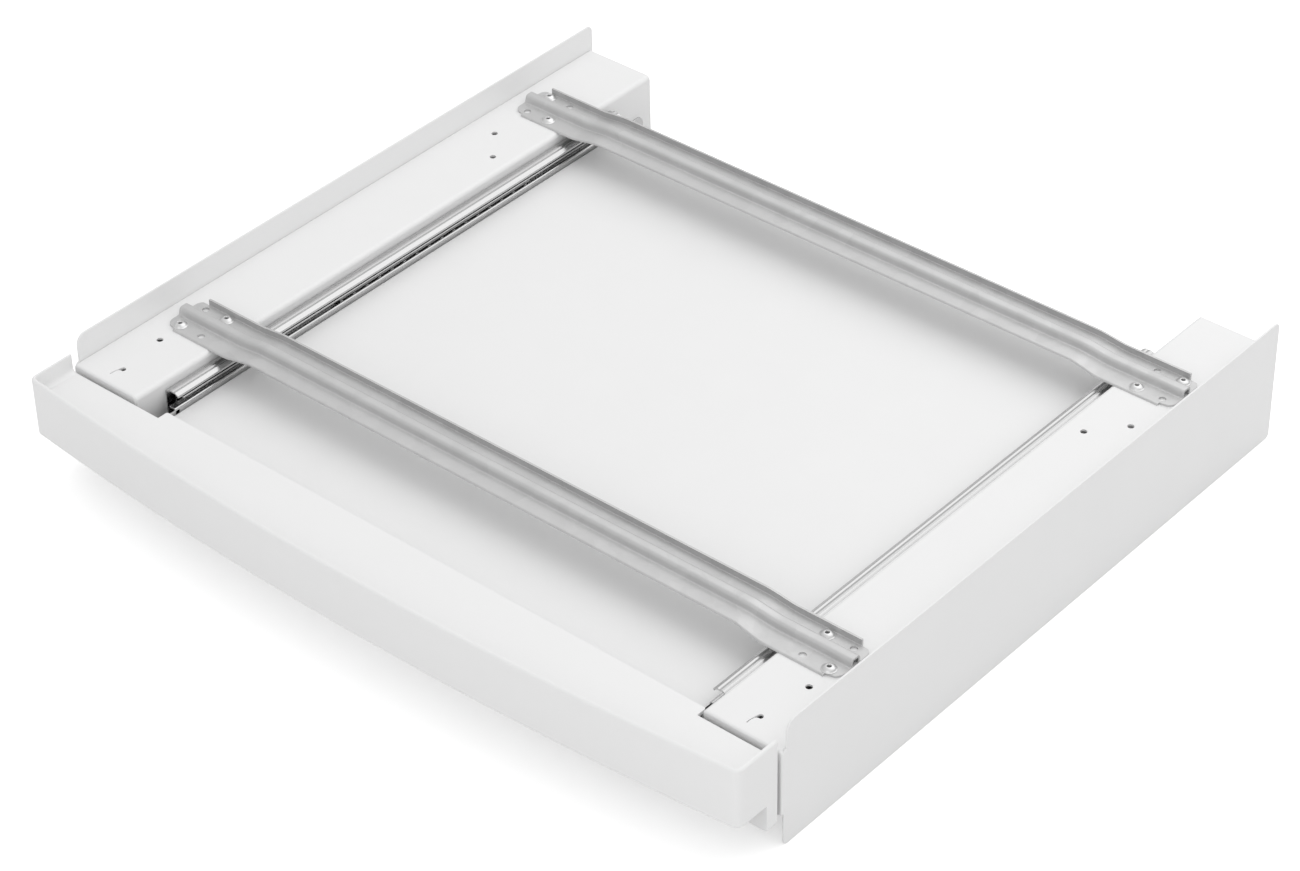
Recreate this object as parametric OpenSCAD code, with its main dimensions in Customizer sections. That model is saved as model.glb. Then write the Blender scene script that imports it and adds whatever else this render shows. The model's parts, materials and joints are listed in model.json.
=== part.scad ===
// Stacking kit: two side members joined by two braces, with a pull-out shelf between them.
// X runs to the right, Y to the back and Z up. Lengths are in millimetres.

/* [Side plates] */
// Width over the outer faces of the two side plates
frame_w = 600; // [580:1:640]
// Depth of the side plates, front to back
frame_d = 517.5; // [504:0.5:560]
// Height of the ear above the channels, which keeps the upper machine from moving sideways
ear_h = 20; // [14:0.5:30]
// Height of the lip under the channels, which keeps the kit on the lower machine
lip_h = 23; // [14:1:30]
// Thickness of the side plates
plate_t = 1.5; // [1:0.1:2]
// Setback of the plate's front edge from the front plane
plate_setback = 3.4; // [2.5:0.1:5]
// Setback of the ear's front edge from the front plane
ear_setback = 6; // [5.2:0.1:9]
// Radius of the ear's upper front corner
ear_r = 8; // [4:0.5:12]
// Radius of the plate's other corners
plate_r = 3.5; // [2:0.5:5]

/* [Channels] */
// Height of each channel, from the lower machine's top to the upper machine's feet
box_h = 51; // [48:0.5:56]
// Width of each channel, from the side plate to its inner web
channel_w = 58.5; // [56:0.5:64]
// Thickness of the channels' sheet
sheet_t = 1.5; // [1:0.1:1.8]
// Outer radius of the bends along the channels' inner edges
bend_r = 3.5; // [3:0.1:5]
// Setback of the channels' closed front from the front plane, where distances along the depth start
channel_setback = 1.7; // [1:0.1:2.2]
// Outer radius of the bends round the channels' closed front
front_r = 2.2; // [2:0.1:3]
// Width of the flange under each channel
foot_w = 26; // [18:1:34]
// Height of the flange that is welded to the side plate
weld_h = 16; // [10:1:24]
// Setback of the channels' rear edge from the side plates' rear edge
channel_back = 3.2; // [0:0.1:6]
// Radius of the spare fixing holes in the channels' tops
spare_r = 2.3; // [1.5:0.1:2.8]
// Distance of the front spare hole from the front plane
spare_front_y = 56.6; // [52:0.1:60]
// Distance of the first rear spare hole from the front plane
spare_rear_y = 361.4; // [350:0.2:375]
// Length of the scooped slot near the front of each top
scoop_l = 11; // [8:0.5:14]
// Radius of the scooped slot
scoop_r = 2.4; // [1.8:0.1:3]
// Distance of the scooped slot's deep end from the front plane
scoop_y = 20; // [16:0.5:24]
// Distance of the scooped slot from the side plate's outer face
scoop_x = 30; // [24:0.5:34]

/* [Braces] */
// Distance of the front brace's front edge from the front plane
front_brace_y = 68.7; // [66:0.1:90]
// Distance of the rear brace's front edge from the front plane
rear_brace_y = 413.5; // [400:0.5:428]
// Width of a brace, front to back
brace_w = 36.8; // [35.5:0.1:42]
// Thickness of a brace's sheet
brace_t = 1.5; // [1.2:0.1:2]
// Clear distance from a brace's tip to the side plate's outer face
tip_gap = 14.8; // [8:0.1:17]
// Radius of the brace's corners, seen from above
tip_r = 7; // [4:0.5:8]
// Length of the brace's tips that stand back from its front edge
tip_step_l = 9.2; // [7:0.2:9.4]
// How far the brace's tips stand back from its front edge
tip_step = 2.4; // [1:0.1:3]
// Height of the brace's rib over its underside
rib_h = 7; // [5.5:0.1:10]
// Height of the brace's rear flange over its underside
flange_h = 6; // [4.5:0.1:9]
// Width of the brace's rib
rib_w = 8.6; // [7.6:0.1:11]
// Distance of the rib from the brace's front edge
rib_y = 15.2; // [14.5:0.1:16.5]
// Outer radius of the brace's bends
brace_r = 2.6; // [2.3:0.1:3.6]
// Length of the rear flange that is cut away at each tip
flange_cut = 7.8; // [6:0.1:12]
// Rise of the brace's middle over its ends
brace_lift = 2.4; // [1:0.1:4]
// Setback of the middle's front edge from the tips' front edge
brace_step = 2.3; // [1:0.1:4]
// Distance of the rise's lower end from the side plate's outer face
rise_from_side = 73; // [69:0.5:78]
// Length of the rise along the brace
rise_l = 20; // [12:0.5:26]
// Distance of the outer column of holes from the side plate's outer face
hole_from_side = 24.5; // [22:0.5:26]
// Pitch between the two columns of holes
hole_dx = 20; // [16:0.5:22]
// Pitch between the two rows of holes
hole_dy = 23.5; // [22.5:0.5:25]
// Distance of the first row of holes from the brace's front edge
hole_y = 6.7; // [6.2:0.1:7.4]
// Radius of the brace's holes
hole_r = 2.5; // [2:0.1:2.7]

/* [Rivets] */
// Radius of a brace rivet's domed head
head_r = 4.7; // [4:0.1:5]
// Height of a brace rivet's domed head
head_h = 2.1; // [1.5:0.1:2.4]
// Radius of the hollow in the head
core_r = 1.2; // [0.9:0.1:1.4]
// Radius of the rivet's blind tail
tail_r = 3.4; // [3:0.1:3.8]
// Height of the rivet's blind tail
tail_h = 4; // [3:0.2:5]

/* [Slides] */
// Height of the outer rail
rail_h = 45; // [45:0.2:46]
// Depth of a slide, from the channel's web to the shelf
slide_d = 12.7; // [12.6:0.1:13.4]
// Length of the outer rail
rail_l = 442; // [438:1:448]
// Distance of the outer rail's front end from the front plane
rail_y = 26.5; // [20:0.5:30]
// Thickness of the rails' sheet
rail_t = 1.2; // [1:0.05:1.25]
// Radius of a bearing ball
ball_r = 1.6; // [1.5:0.02:1.66]
// Running gap between a ball and its races
ball_gap = 0.3; // [0.25:0.01:0.34]
// Number of balls in one row
ball_count = 16; // [8:1:16]
// Pitch between the balls in one row
ball_pitch = 12.4; // [8:0.1:12.5]
// Distance of the ball cages' front end from the front plane
cage_y = 178.5; // [150:0.5:180]
// Thickness of a ball cage's sheet
cage_t = 0.6; // [0.5:0.05:0.7]
// Setback of the middle rail's front end from the outer rail's
middle_setback = 5; // [3:0.5:9]
// Reach of the inner rail in front of the outer rail
inner_lead = 3.5; // [2:0.5:5]
// Reach of the inner rail's plate in front of the outer rail
inner_reach = 11; // [6:0.5:14]
// Length of the tab behind the outer rail
tab_l = 36; // [16:1:40]
// Height of the tab behind the outer rail
tab_h = 19; // [12:0.5:22]
// Length of the rear buffer
buffer_l = 8; // [5:0.5:9]

/* [Shelf] */
// Drop of the shelf below the channels' tops
shelf_drop = 18.8; // [16:0.2:22]
// Thickness of the shelf's sheet
shelf_t = 1.2; // [1:0.1:1.5]
// Depth of the shelf's flanges
shelf_flange_h = 22; // [18:0.5:25]
// Outer radius of the shelf's bends
shelf_r = 2; // [1.6:0.1:3]
// Distance of the shelf's rear edge from the front plane
shelf_rear_y = 462; // [440:1:470]

/* [Front] */
// Reach of the bowed front in front of the channels
front_reach = 51.8; // [48:0.1:60]
// Radius of the bow, seen from above
bow_r = 3000; // [2800:50:4000]
// Width of the front fascia
fascia_w = 598; // [584:1:600]
// Height of the fascia's rim over the channels' tops
rim_h = 11; // [7:0.5:18]
// Height of the fascia's band
band_h = 45; // [38:0.5:50]
// Wall of the fascia
fascia_t = 2.5; // [2:0.1:3]
// Radius of the fascia's front corners
fascia_r = 5.5; // [4:0.5:10]
// Drop of the fascia's ledge below the channels' tops
ledge_drop = 3; // [1.5:0.1:5]
// Distance of the rear faces of the fascia and the beam from the front plane
front_gap = 1.6; // [1.2:0.1:3]
// Reach of the ledge behind the front plane, over the shelf
ledge_reach = 6.4; // [4:0.1:9]
// Clear width beside the left channel in the ledge
left_notch_w = 24; // [14:0.5:27]
// Clear width beside the right channel in the ledge
right_notch_w = 1.2; // [1:0.1:4]
// Depth of the front beam, front to back
beam_d = 9.5; // [8:0.5:12]
// Drop of the front beam's lower edge below the channels' tops
beam_drop = 53.5; // [48:0.5:58]
// Thickness of the front beam's sheet
beam_t = 1.5; // [1.2:0.1:1.8]
// Number of ribs under the ledge
rib_count = 6; // [2:1:8]
// Depth of the ribs under the ledge
ledge_rib_h = 7; // [4:0.5:9]

/* [Screws] */
// Radius of a screw's head
screw_head_r = 3.4; // [3:0.1:3.8]
// Height of a screw's head
screw_head_h = 2; // [1.6:0.1:2.4]
// Radius of a screw's thread
screw_r = 1.9; // [1.6:0.05:2]
// Number of screws on the front beam
beam_screw_count = 5; // [3:1:7]
// Number of screws on each rail
rail_screw_count = 3; // [2:1:4]

/* [Hidden] */
$fn = 48;
cut = 1;
fit_gap = 0.1;

top_z = box_h + lip_h;
mid_y = (frame_d - front_reach) / 2;
plate_x = -frame_w / 2 + plate_t;
web_x = plate_x + channel_w;
weld_r = sheet_t + 0.5 * plate_t;
channel_rear_y = frame_d - channel_back;
return_d = plate_setback - fit_gap - channel_setback;

tip_x = frame_w / 2 - tip_gap;
rise_out = frame_w / 2 - rise_from_side;
rise_in = rise_out - rise_l;
hole_x = frame_w / 2 - hole_from_side;
bore_r = hole_r + fit_gap;

race_r = ball_r + ball_gap;
race_groove = ball_gap * 2 / 3;
bead_h = rail_t / 2;
rail_top = rail_h / 2;
rail_z = -rail_h / 2 - (box_h - rail_h) + ball_gap;
slide_gap = cage_t;
outer_ball_v = rail_top - rail_t - race_r;
middle_top = outer_ball_v - race_r + race_groove;
middle_t = rail_t + race_groove;
inner_ball_v = middle_top - middle_t + race_groove - race_r;
inner_top = inner_ball_v - race_r + race_groove;
outer_cage_u = rail_t + 2.5 * slide_gap + fit_gap;
middle_u = outer_cage_u + cage_t + slide_gap;
inner_cage_u = middle_u + rail_t + slide_gap;
inner_u = slide_d - rail_t;
outer_ball_u = middle_u + rail_t + race_r + slide_gap - fit_gap;
inner_ball_u = inner_cage_u + cage_t + race_r + 3 * fit_gap;
outer_lip_u = slide_d - ball_gap;
middle_lip_u = slide_d - rail_t - slide_gap + fit_gap;
inner_lip_u = inner_cage_u + cage_t + slide_gap;
lip_t = rail_t - 2 * fit_gap;
cage_l = ball_pitch * ball_count - ball_pitch / 2;
rail_rear_y = rail_y + rail_l;
buffer_y = rail_rear_y - buffer_l;
moving_rear_y = buffer_y - rail_t;
middle_front_y = rail_y + middle_setback;
inner_front_y = rail_y - inner_lead;
rivet_head_r = 2 * screw_r;

shelf_x = -web_x - slide_d;
shelf_front_y = -front_gap - beam_d + beam_t;

fascia_x = fascia_w / 2;
bow_y = bow_r - front_reach;
band_bottom = rim_h - band_h;
corner_x = fascia_x - fascia_r;
corner_y = bow_y - sqrt(pow(bow_r - fascia_r, 2) - pow(corner_x, 2));
corner_angle = asin(corner_x / (bow_r - fascia_r));
beam_x = fascia_x - fascia_t;
beam_y = -front_gap - beam_d;
ledge_under = -ledge_drop - fascia_t;
ledge_left = web_x + left_notch_w;
ledge_right = -web_x - right_notch_w;

white = [0.93, 0.93, 0.93];
white_plastic = [0.95, 0.95, 0.95];
zinc = [0.72, 0.73, 0.74];
bright_steel = [0.8, 0.8, 0.82];
dark_rubber = [0.15, 0.15, 0.16];

// Puts pieces drawn from the front plane and the channels' top into the part's own frame
module in_frame() translate([0, -mid_y, top_z]) children();

// Keeps the left piece, or mirrors it to the right
module on_side(side) {
    if (side > 0) mirror([1, 0, 0]) children();
    else children();
}

// Extrudes an outline drawn in Y and Z along X
module along_x(x, length) translate([x, 0, 0]) rotate([90, 0, 90]) linear_extrude(length) children();

// Extrudes an outline drawn in X and Z along Y
module along_y(y, length) translate([0, y + length, 0]) rotate([90, 0, 0]) linear_extrude(length) children();

// What a rounded corner takes off a square corner at the origin
module corner_cut(r) difference() {
    translate([-cut, -cut]) square(r + cut);
    translate([r, r]) circle(r);
}

// What a round inner corner adds between two walls that meet at the origin
module corner_fill(r) difference() {
    square(r);
    translate([r, r]) circle(r);
}

// A block from its lowest corner to its highest
module block(from, to) translate(from) cube(to - from);

// Side plates

module side_outline() difference() {
    union() {
        translate([plate_setback, -top_z]) square([frame_d - plate_setback, top_z]);
        translate([ear_setback, -plate_r]) square([frame_d - ear_setback, plate_r + ear_h]);
    }
    translate([ear_setback, ear_h]) rotate(-90) corner_cut(ear_r);
    translate([frame_d, ear_h]) rotate(180) corner_cut(plate_r);
    translate([frame_d, -top_z]) rotate(90) corner_cut(plate_r);
    translate([plate_setback, -top_z]) corner_cut(plate_r);
    translate([plate_setback, 0]) rotate(-90) corner_cut(ear_setback - plate_setback);
}

module side_plate(side) color(white) in_frame() on_side(side)
    along_x(-frame_w / 2, plate_t) side_outline();

module left_side_plate() side_plate(-1);
module right_side_plate() side_plate(1);

// Channels

module channel_front(inset) difference() {
    translate([plate_x + inset, -box_h + inset]) square([channel_w - 2 * inset, box_h - 2 * inset]);
    translate([web_x - inset, -inset]) rotate(180) corner_cut(bend_r - inset);
    translate([web_x - inset, inset - box_h]) rotate(90) corner_cut(bend_r - inset);
    translate([plate_x + inset, -inset]) rotate(-90) corner_cut(weld_r - inset);
}

module channel_side(inset) difference() {
    translate([channel_setback + inset, -box_h - inset])
        square([channel_rear_y - channel_setback + inset, box_h]);
    translate([channel_setback + inset, -inset]) rotate(-90) corner_cut(front_r - inset);
}

module channel_plan(inset) difference() {
    translate([plate_x - inset, channel_setback + inset])
        square([channel_w, channel_rear_y - channel_setback + inset]);
    translate([web_x - inset, channel_setback + inset]) rotate(90) corner_cut(front_r - inset);
}

module channel_block(inset) intersection() {
    along_y(0, channel_rear_y + inset) channel_front(inset);
    along_x(plate_x, channel_w) channel_side(inset);
    translate([0, 0, -box_h]) linear_extrude(box_h) channel_plan(inset);
}

// The front flange's bend round the side plate's front edge
module front_return() intersection() {
    along_x(-frame_w / 2, channel_w) channel_side(0);
    translate([-frame_w / 2, channel_setback, -box_h]) linear_extrude(box_h) difference() {
        square([2 * plate_t, return_d]);
        corner_cut(return_d);
    }
}

// Where the rivets of a brace stand: the outer one in one row, the inner one in the other
function rivet_places(brace_y, outer_row) = [
    [hole_x, brace_y + hole_y + outer_row * hole_dy],
    [hole_x - hole_dx, brace_y + hole_y + (1 - outer_row) * hole_dy]
];
all_rivets = concat(rivet_places(front_brace_y, 0), rivet_places(rear_brace_y, 1));
spare_holes = [
    [hole_x, spare_front_y],
    [hole_x - hole_dx, spare_rear_y],
    [hole_x, spare_rear_y + hole_dy]
];

// Heights of the fixings along a rail, as shares of the rail's length
rail_screw_shares = [for (i = [0 : rail_screw_count - 1]) (i + 0.5) / rail_screw_count];
function rail_screw_y(share) = rail_y + share * (buffer_y - rail_y);

module scoop() translate([scoop_x - frame_w / 2, scoop_y, 0])
    rotate([90 + atan(2 * sheet_t / scoop_l), 0, 0])
        translate([0, scoop_r - 2 * sheet_t, 0]) cylinder(r = scoop_r, h = scoop_l + cut);

module channel(side) color(white) in_frame() on_side(side) difference() {
    union() {
        channel_block(0);
        front_return();
    }
    channel_block(sheet_t);
    block([plate_x - cut, -cut, -box_h - cut], [web_x - foot_w, frame_d + cut, -weld_h]);
    for (p = all_rivets) translate([-p.x, p.y, -bend_r]) cylinder(r = bore_r, h = bend_r + cut);
    for (p = spare_holes) translate([-p.x, p.y, -bend_r]) cylinder(r = spare_r, h = bend_r + cut);
    for (s = rail_screw_shares) translate([web_x - bend_r, rail_screw_y(s), rail_z])
        rotate([0, 90, 0]) cylinder(r = screw_r + fit_gap, h = bend_r + cut);
    scoop();
}

module left_channel() channel(-1);
module right_channel() channel(1);

// Braces

module rounded_top(w, h, r) difference() {
    square([w, h]);
    translate([0, h]) rotate(-90) corner_cut(r);
    translate([w, h]) rotate(180) corner_cut(r);
}

module brace_section(setback) difference() {
    union() {
        translate([setback, 0]) square([brace_w - setback, brace_t]);
        translate([rib_y, 0]) rounded_top(rib_w, rib_h, brace_r);
        translate([brace_w - brace_t, 0]) square([brace_t, flange_h]);
        translate([brace_w - brace_t, brace_t]) rotate(90) corner_fill(brace_r - brace_t);
        translate([rib_y, brace_t]) rotate(90) corner_fill(brace_r - brace_t);
        translate([rib_y + rib_w, brace_t]) corner_fill(brace_r - brace_t);
    }
    translate([rib_y + brace_t, -cut])
        rounded_top(rib_w - 2 * brace_t, rib_h - brace_t + cut, brace_r - brace_t);
    translate([brace_w, 0]) rotate(90) corner_cut(brace_r);
}

// The tip of a brace seen from above, set back at the front, with two rounded corners
module tip_plan() difference() {
    square([tip_x, brace_w]);
    translate([tip_x - tip_step_l, -cut]) square([tip_step_l + cut, tip_step + cut]);
    translate([tip_x, tip_step]) rotate(90) corner_cut(tip_r);
    translate([tip_x, brace_w]) rotate(180) corner_cut(tip_r);
}

module brace_end() difference() {
    intersection() {
        along_x(rise_out, tip_x - rise_out) brace_section(0);
        linear_extrude(rib_h) tip_plan();
    }
    block([tip_x - flange_cut, rib_y + rib_w + brace_r, brace_t], [tip_x + cut, brace_w + cut, rib_h + cut]);
    for (column = [0, 1], row = [0, 1])
        translate([hole_x - column * hole_dx, hole_y + row * hole_dy, -cut])
            cylinder(r = bore_r, h = brace_t + 2 * cut);
}

// The sloped length between a tip and the middle: each cross-section is only shifted up
module brace_rise() difference() {
    multmatrix([
        [1, 0, 0, 0],
        [0, 1, 0, 0],
        [-brace_lift / rise_l, 0, 1, brace_lift * rise_out / rise_l],
        [0, 0, 0, 1]
    ]) along_x(rise_in, rise_l) brace_section(0);
    translate([0, 0, -cut]) linear_extrude(rib_h + cut) polygon([
        [rise_in - cut, -cut], [rise_out, -cut], [rise_out, 0], [rise_in, brace_step], [rise_in - cut, brace_step]
    ]);
}

module brace(y) color(zinc) in_frame() translate([0, y, 0]) {
    for (side = [-1, 1]) on_side(-side) {
        brace_end();
        brace_rise();
    }
    translate([0, 0, brace_lift]) along_x(-rise_in, 2 * rise_in) brace_section(brace_step);
}

module front_brace() brace(front_brace_y);
module rear_brace() brace(rear_brace_y);

// A blind rivet with its head on the brace and its tail under the channel's top
module rivet() {
    dome_r = (pow(head_r, 2) + pow(head_h, 2)) / (2 * head_h);
    difference() {
        union() {
            translate([0, 0, brace_t]) intersection() {
                translate([0, 0, head_h - dome_r]) sphere(dome_r, $fn = 96);
                cylinder(r = head_r, h = head_h + cut);
            }
            translate([0, 0, -sheet_t - tail_h / 2]) cylinder(r = hole_r, h = brace_t + sheet_t + tail_h / 2);
            translate([0, 0, -sheet_t - tail_h]) cylinder(r = tail_r, h = tail_h);
        }
        translate([0, 0, brace_t + head_h / 4]) cylinder(r = core_r, h = head_h);
    }
}

module brace_rivets() color(bright_steel) in_frame() for (side = [-1, 1], p = all_rivets)
    translate([side * p.x, p.y, 0]) rivet();

// Slides: outlines run from the channel's web towards the shelf, and from the slide's middle up

module both_flanges() {
    children();
    mirror([0, 1]) children();
}

module outer_section() difference() {
    union() {
        translate([0, -rail_top + bead_h]) square([rail_t, rail_h - 2 * bead_h]);
        both_flanges() {
            translate([0, rail_top - bead_h - rail_t]) square([outer_lip_u, rail_t]);
            intersection() {
                translate([outer_ball_u, outer_ball_v]) circle(race_r + rail_t);
                translate([0, rail_top - bead_h - rail_t]) square([slide_d, 2 * rail_t]);
            }
            translate([outer_lip_u - lip_t, rail_top - bead_h - 2 * rail_t]) square([lip_t, rail_t]);
        }
    }
    both_flanges() {
        translate([outer_ball_u, outer_ball_v]) circle(race_r);
        translate([outer_lip_u, rail_top - bead_h]) rotate(180) corner_cut(rail_t);
        translate([0, rail_top - bead_h]) rotate(-90) corner_cut(rail_t);
    }
}

// Closes a slide's web and its two flanges to one outline, open towards +X or, with a negative depth, towards -X
module open_section(u, v, depth, web, flange) translate([u, -v]) difference() {
    translate([min(0, depth), 0]) square([abs(depth), 2 * v]);
    translate([depth > 0 ? web : depth - cut, flange]) square([abs(depth) - web + cut, 2 * (v - flange)]);
}

module middle_section() difference() {
    open_section(middle_u, middle_top, middle_lip_u - middle_u, rail_t, middle_t);
    both_flanges() {
        translate([outer_ball_u, outer_ball_v]) circle(race_r);
        translate([inner_ball_u, inner_ball_v]) circle(race_r);
        translate([middle_u, middle_top]) rotate(-90) corner_cut(rail_t);
    }
}

module inner_section() difference() {
    open_section(slide_d, inner_top, inner_lip_u - slide_d, rail_t, rail_t);
    both_flanges() {
        translate([inner_ball_u, inner_ball_v]) circle(race_r);
        translate([slide_d, inner_top]) rotate(180) corner_cut(rail_t);
    }
}

module cage_section(u, v, reach) open_section(u, v + cage_t / 2, reach, cage_t, cage_t);

// Puts an outline of a slide on the left or right channel's web, and draws it out along the slide
module slide_part(side, y, length) in_frame() on_side(side)
    translate([web_x, 0, rail_z]) along_y(y, length) children();

module tab_plan() translate([rail_rear_y - cut, -tab_h]) difference() {
    square([tab_l + cut, tab_h]);
    translate([tab_l + cut, tab_h]) rotate(180) corner_cut(tab_h / 3);
    translate([tab_l + cut, 0]) rotate(90) corner_cut(tab_h / 3);
}

module outer_rail(side) color(bright_steel) difference() {
    union() {
        slide_part(side, rail_y, rail_l) outer_section();
        in_frame() on_side(side) translate([0, 0, rail_z]) along_x(web_x, rail_t) tab_plan();
    }
    in_frame() on_side(side) for (s = rail_screw_shares)
        translate([web_x - cut, rail_screw_y(s), rail_z]) rotate([0, 90, 0])
            cylinder(r = screw_r + fit_gap, h = rail_t + 2 * cut);
}

module left_outer_rail() outer_rail(-1);
module right_outer_rail() outer_rail(1);

// Low rivets that hold the outer rails to the webs
module rail_rivet() rotate([0, 90, 0]) {
    translate([0, 0, -2 * sheet_t]) cylinder(r = screw_r, h = 2 * sheet_t + rail_t);
    translate([0, 0, rail_t]) cylinder(r = rivet_head_r, h = slide_gap);
    translate([0, 0, -2 * sheet_t]) cylinder(r = rivet_head_r, h = sheet_t);
}

module rail_rivets() color(bright_steel) in_frame() for (side = [-1, 1]) on_side(side)
    for (s = rail_screw_shares) translate([web_x, rail_screw_y(s), rail_z]) rail_rivet();

module rail_buffer(side) color(dark_rubber) in_frame() on_side(side)
    translate([web_x, 0, rail_z])
        block([rail_t, buffer_y, -middle_top / 2], [inner_u, rail_rear_y, middle_top / 2]);

module left_rail_buffer() rail_buffer(-1);
module right_rail_buffer() rail_buffer(1);

module middle_rail(side) color(bright_steel)
    slide_part(side, middle_front_y, moving_rear_y - middle_front_y) middle_section();

module left_middle_rail() middle_rail(-1);
module right_middle_rail() middle_rail(1);

module inner_rail(side) color(bright_steel) difference() {
    union() {
        slide_part(side, inner_front_y, moving_rear_y - inner_front_y) inner_section();
        slide_part(side, rail_y - inner_reach, inner_reach) translate([inner_u, -inner_top + rail_t])
            square([rail_t, 2 * inner_top - 2 * rail_t]);
    }
    in_frame() on_side(side) for (s = rail_screw_shares)
        translate([web_x + inner_u - cut, rail_screw_y(s), tray_screw_z]) rotate([0, 90, 0])
            cylinder(r = screw_r + fit_gap, h = rail_t + 2 * cut);
}
tray_screw_z = -shelf_drop - shelf_flange_h / 2;

module left_inner_rail() inner_rail(-1);
module right_inner_rail() inner_rail(1);

function ball_y(i) = cage_y + (i + 0.75) * ball_pitch - ball_pitch / 2;

module ball_holes(u, v) for (i = [0 : ball_count - 1])
    translate([web_x + u, ball_y(i), rail_z - v - ball_r]) cylinder(r = ball_r + fit_gap, h = 2 * v + 2 * ball_r);

module outer_cage(side) color(bright_steel) difference() {
    slide_part(side, cage_y, cage_l)
        cage_section(outer_cage_u, outer_ball_v, outer_ball_u + race_r + fit_gap - outer_cage_u);
    in_frame() on_side(side) ball_holes(outer_ball_u, outer_ball_v);
}

module inner_cage(side) color(bright_steel) difference() {
    slide_part(side, cage_y, cage_l)
        cage_section(inner_cage_u, inner_ball_v, inner_ball_u + race_r + fit_gap - inner_cage_u);
    in_frame() on_side(side) ball_holes(inner_ball_u, inner_ball_v);
}

module left_outer_cage() outer_cage(-1);
module right_outer_cage() outer_cage(1);
module left_inner_cage() inner_cage(-1);
module right_inner_cage() inner_cage(1);

module balls(side, u, v) color(bright_steel) in_frame() on_side(side)
    for (row = [-1, 1], i = [0 : ball_count - 1])
        translate([web_x + u, ball_y(i), rail_z + row * v]) sphere(ball_r, $fn = 24);

module left_outer_balls() balls(-1, outer_ball_u, outer_ball_v);
module right_outer_balls() balls(1, outer_ball_u, outer_ball_v);
module left_inner_balls() balls(-1, inner_ball_u, inner_ball_v);
module right_inner_balls() balls(1, inner_ball_u, inner_ball_v);

// Shelf

module tray_front(inset) difference() {
    translate([-shelf_x + inset, -shelf_drop - shelf_flange_h - inset])
        square([2 * (shelf_x - inset), shelf_flange_h]);
    translate([shelf_x - inset, -shelf_drop - inset]) rotate(180) corner_cut(shelf_r - inset);
    translate([inset - shelf_x, -shelf_drop - inset]) rotate(-90) corner_cut(shelf_r - inset);
}

module tray_side(inset) difference() {
    translate([shelf_front_y + inset, -shelf_drop - shelf_flange_h - inset])
        square([shelf_rear_y - shelf_front_y - 2 * inset, shelf_flange_h]);
    translate([shelf_rear_y - inset, -shelf_drop - inset]) rotate(180) corner_cut(shelf_r - inset);
    translate([shelf_front_y + inset, -shelf_drop - inset]) rotate(-90) corner_cut(shelf_r - inset);
}

module tray_block(inset) intersection() {
    along_y(shelf_front_y, shelf_rear_y - shelf_front_y) tray_front(inset);
    along_x(-shelf_x, 2 * shelf_x) tray_side(inset);
}

// Places of the beam's screws, as shares of the shelf's half width
beam_screw_shares = [for (i = [0 : beam_screw_count - 1]) 0.9 * (2 * i / (beam_screw_count - 1) - 1)];

module shelf_tray() color(white) in_frame() difference() {
    tray_block(0);
    tray_block(shelf_t);
    for (side = [-1, 1]) on_side(side) for (s = rail_screw_shares)
        translate([-shelf_x - cut, rail_screw_y(s), tray_screw_z]) rotate([0, 90, 0])
            cylinder(r = screw_r + fit_gap, h = shelf_t + 2 * cut);
    for (s = beam_screw_shares)
        translate([s * shelf_x, shelf_front_y - cut, tray_screw_z]) rotate([-90, 0, 0])
            cylinder(r = screw_r + fit_gap, h = shelf_t + 2 * cut);
}

// Front

module beam_section() {
    translate([beam_y, -beam_drop]) square([beam_t, beam_drop + ledge_under]);
    translate([beam_y, -beam_drop]) square([beam_d, beam_t]);
    translate([beam_y, ledge_under - beam_t]) square([beam_d, beam_t]);
}

module front_beam() color(white) in_frame() difference() {
    along_x(-beam_x, 2 * beam_x) beam_section();
    for (s = beam_screw_shares) {
        translate([s * shelf_x, beam_y - cut, tray_screw_z]) rotate([-90, 0, 0])
            cylinder(r = screw_r + fit_gap, h = beam_t + 2 * cut);
        translate([s * beam_x, fascia_screw_y, ledge_under - beam_t - cut])
            cylinder(r = screw_r + fit_gap, h = beam_t + 2 * cut);
    }
}
fascia_screw_y = beam_y + beam_t + (beam_d - beam_t) / 2;

// The front's outline from above: a shallow bow between two side walls with rounded corners
module front_plan(inset) {
    r = fascia_r - inset;
    difference() {
        intersection() {
            translate([0, bow_y]) circle(bow_r - inset, $fn = 720);
            translate([-fascia_x + inset, -front_reach]) square([2 * (fascia_x - inset), front_reach - front_gap]);
        }
        for (side = [0, 1]) mirror([side, 0]) difference() {
            polygon([
                [corner_x, corner_y],
                [corner_x + r * sin(corner_angle), corner_y - (r + cut) * cos(corner_angle)],
                [fascia_x + cut, corner_y - r - cut],
                [fascia_x + cut, corner_y]
            ]);
            translate([corner_x, corner_y]) circle(r);
        }
    }
}

module ledge_plan() {
    front_plan(fascia_t / 2);
    translate([ledge_left, -front_gap - cut]) square([ledge_right - ledge_left, ledge_reach + front_gap + cut]);
}

module ledge_ribs() intersection() {
    union() for (i = [0 : rib_count - 1])
        translate([beam_x * ((2 * i + 1) / rib_count - 1) - fascia_t / 2, -front_reach, ledge_under - ledge_rib_h])
            cube([fascia_t, front_reach + beam_y, ledge_rib_h + fascia_t / 2]);
    translate([0, 0, band_bottom]) linear_extrude(band_h) front_plan(fascia_t / 2);
}

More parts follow.
